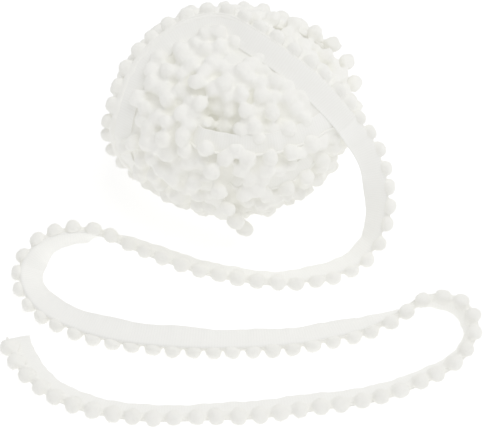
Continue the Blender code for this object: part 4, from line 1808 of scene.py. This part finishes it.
    def peeping(self, kept: np.ndarray, lowest: float) -> list[Matrix]:
        """The pompoms of deeper turns, which peep out wherever there is still room.

        Args:
            kept: The directions that have a pompom already.
            lowest: The sine of the lowest direction that has one.

        Returns:
            Where these pompoms go.
        """
        chance = np.random.default_rng(PEEP_SEED)
        numbers = np.arange(self.fill_sites)
        height = 1.0 - 2.0 * (numbers + 0.5) / self.fill_sites
        turned = numbers * GOLDEN_ANGLE
        level = np.sqrt(1.0 - height**2)
        sites = np.stack((np.cos(turned) * level, np.sin(turned) * level, height), axis=1)
        free = (height > lowest) & ~self.last_turn.covers(sites, self.last_peep_inset)
        for turn in self.turns:
            if turn.name in BARE_TAPE:
                free &= ~self.covers(turn, sites, self.bare_peep_inset)
        lifts = chance.uniform(self.fill_low, self.fill_high, self.fill_sites)
        covered = self.last_turn.covers(sites, -self.last_margin)
        crowded = sites[:, 0] < self.crowded_left
        hidden = self.swollen(sites, lifts, self.hidden_under)
        beside = self.swollen(sites, lifts, self.under_pompoms)
        lifts = np.where(covered & ~crowded, hidden, beside)
        over = self.swollen(sites, lifts, self.under_crowded)
        lifts = np.where(covered & crowded, over, lifts)
        places = []
        for number in chance.permutation(numbers[free]):
            direction = sites[number]
            if np.linalg.norm(kept - direction, axis=1).min() * MEAN_RADIUS < self.fill_closest:
                continue
            kept = np.vstack((kept, direction))
            lean = unit(chance.normal(size=3) - direction * self.peep_turned_in)
            size = chance.uniform(*self.peep_sizes, 3)
            places.append(self.seated(direction, lifts[number], lean, size))
        return places

    def seated(
        self, direction: np.ndarray, lift: float, lean: np.ndarray, size: Sequence[float]
    ) -> Matrix:
        """The matrix of a pompom that is seated on the winding.

        Args:
            direction: Its direction from the ball's centre.
            lift: How high the winding is there above the core.
            lean: The way that its tape side is turned.
            size: Its size each way, against its usual size.

        Returns:
            The matrix for its points.
        """
        radius = core_radius(direction[None])[0] + lift + self.pompom_seat
        normal = np.cross(lean, np.cross(direction, lean))
        return pompom_place(BALL_CENTRE + direction * radius, lean, normal, size)

    def inner_turns(self) -> bpy.types.Object:
        """The closed mass of inner turns, swollen under the last turn."""
        bpy.ops.object.select_all(action="DESELECT")
        bpy.ops.mesh.primitive_ico_sphere_add(subdivisions=6, radius=1.0)
        mass = bpy.context.object
        directions = unit(read_points(mass.data).astype(float))
        step = np.zeros(len(directions))
        for number, turn in enumerate(self.turns):
            raised = number % self.inner_steps * self.inner_step
            step = np.where(self.covers(turn, directions, 0.0), raised, step)
        lifts = self.swollen(directions, step - self.inner_depth, self.under_tape)
        write_points(
            mass.data, BALL_CENTRE + directions * (core_radius(directions) + lifts)[:, None]
        )
        return mass

    def build(self) -> None:
        """Makes and dresses the ball's pieces."""
        runs = [self.turn_run(turn, seed) for seed, turn in enumerate(self.turns)]
        tape, cord = self.tape(runs), self.edge_cord.along("ball_edge_cord", runs)
        soft = self.tufts.build("ball", self.places(), self.inner_turns())
        dressing = Dressing(WOUND_TAPE, WOUND_SLOT, WOUND_SLOT, ["ball"], ["ball"])
        dressing.put_on((tape, cord, *soft))


# ---- The studio --------------------------------------------------------------------------------


@dataclass
class Studio:
    """The pale floor, the soft light and the camera.

    Attributes:
        target: The point of the floor that the camera looks at.
        distance: How far the camera is from it.
        elevation: How high it stands, in degrees.
        focal_px: Its focal length in pixels of the render.
        render_width: The render's width in pixels.
        sensor: The sensor's width in millimetres.
        floor_size: The side of the floor.
        floor_colour: The floor's colour.
        sky: The strength of the light from all round.
        key: The power of the large lamp overhead.
        lamp_size: The side of that lamp.
        lamp_place: Where it hangs.
        glow: How much light the floor itself gives, as a light table's does.
        gamma: How much the render's shadows are lifted.
    """

    target: tuple[float, float, float] = (5.9 * MM, -36.8 * MM, 0.0)
    distance: float = 1.05
    elevation: float = 50.0
    focal_px: float = 1750.0
    render_width: float = 486.0
    sensor: float = 36.0
    floor_size: float = 6.0
    floor_colour: tuple[float, float, float, float] = (0.97, 0.97, 0.97, 1.0)
    sky: float = 0.32
    key: float = 12.0
    lamp_size: float = 1.2
    lamp_place: tuple[float, float, float] = (0.5, 0.0, 1.5)
    glow: float = 0.5
    gamma: float = 2.4

    def camera(self) -> None:
        """Sets up the camera."""
        lens = bpy.data.cameras.new("camera")
        lens.sensor_width = self.sensor
        lens.lens = self.focal_px / self.render_width * self.sensor
        lens.clip_start, lens.clip_end = 0.05, 20.0
        camera = bpy.data.objects.new("camera", lens)
        bpy.context.scene.collection.objects.link(camera)
        rise = math.radians(self.elevation)
        back = Vector((0.0, -math.cos(rise), math.sin(rise)))
        camera.location = Vector(self.target) + back * self.distance
        camera.rotation_euler = (math.pi / 2.0 - rise, 0.0, 0.0)
        bpy.context.scene.camera = camera

    def floor(self) -> None:
        """Lays the plain pale floor."""
        bpy.ops.object.select_all(action="DESELECT")
        bpy.ops.mesh.primitive_plane_add(size=self.floor_size)
        floor = bpy.context.object
        floor.name = "floor"
        material = bpy.data.materials.new("pale_floor")
        material.use_nodes = True
        shader = material.node_tree.nodes["Principled BSDF"]
        shader.inputs["Base Color"].default_value = self.floor_colour
        shader.inputs["Roughness"].default_value = 0.9
        shader.inputs["Specular IOR Level"].default_value = 0.1
        shader.inputs["Emission Color"].default_value = (1.0, 1.0, 1.0, 1.0)
        shader.inputs["Emission Strength"].default_value = self.glow
        floor.data.materials.append(material)

    def lights(self) -> None:
        """Lights the scene softly from all round and from overhead."""
        world = bpy.data.worlds.new("soft_sky")
        world.use_nodes = True
        sky = world.node_tree.nodes["Background"]
        sky.inputs["Color"].default_value = (1.0, 1.0, 1.0, 1.0)
        sky.inputs["Strength"].default_value = self.sky
        bpy.context.scene.world = world
        lamp = bpy.data.lights.new("overhead", "AREA")
        lamp.energy = self.key
        lamp.shape = "SQUARE"
        lamp.size = self.lamp_size
        overhead = bpy.data.objects.new("overhead", lamp)
        bpy.context.scene.collection.objects.link(overhead)
        overhead.location = self.lamp_place
        aim = Vector(self.target) - Vector(self.lamp_place)
        overhead.rotation_euler = aim.to_track_quat("-Z", "Y").to_euler()
        view = bpy.context.scene.view_settings
        view.view_transform = "Standard"
        view.gamma = self.gamma


def main() -> None:
    """Builds the studio, the loose trim and the ball."""
    logging.basicConfig(level=logging.INFO, format="%(name)s: %(message)s")
    studio = Studio()
    studio.camera()
    studio.floor()
    studio.lights()
    loose = LooseTrim()
    loose.build()
    WoundBall(loose.turn).build()
    LOG.info("tail %.3f m, last turn %.3f m", loose.length, loose.joint)


if __name__ == "__main__":
    main()
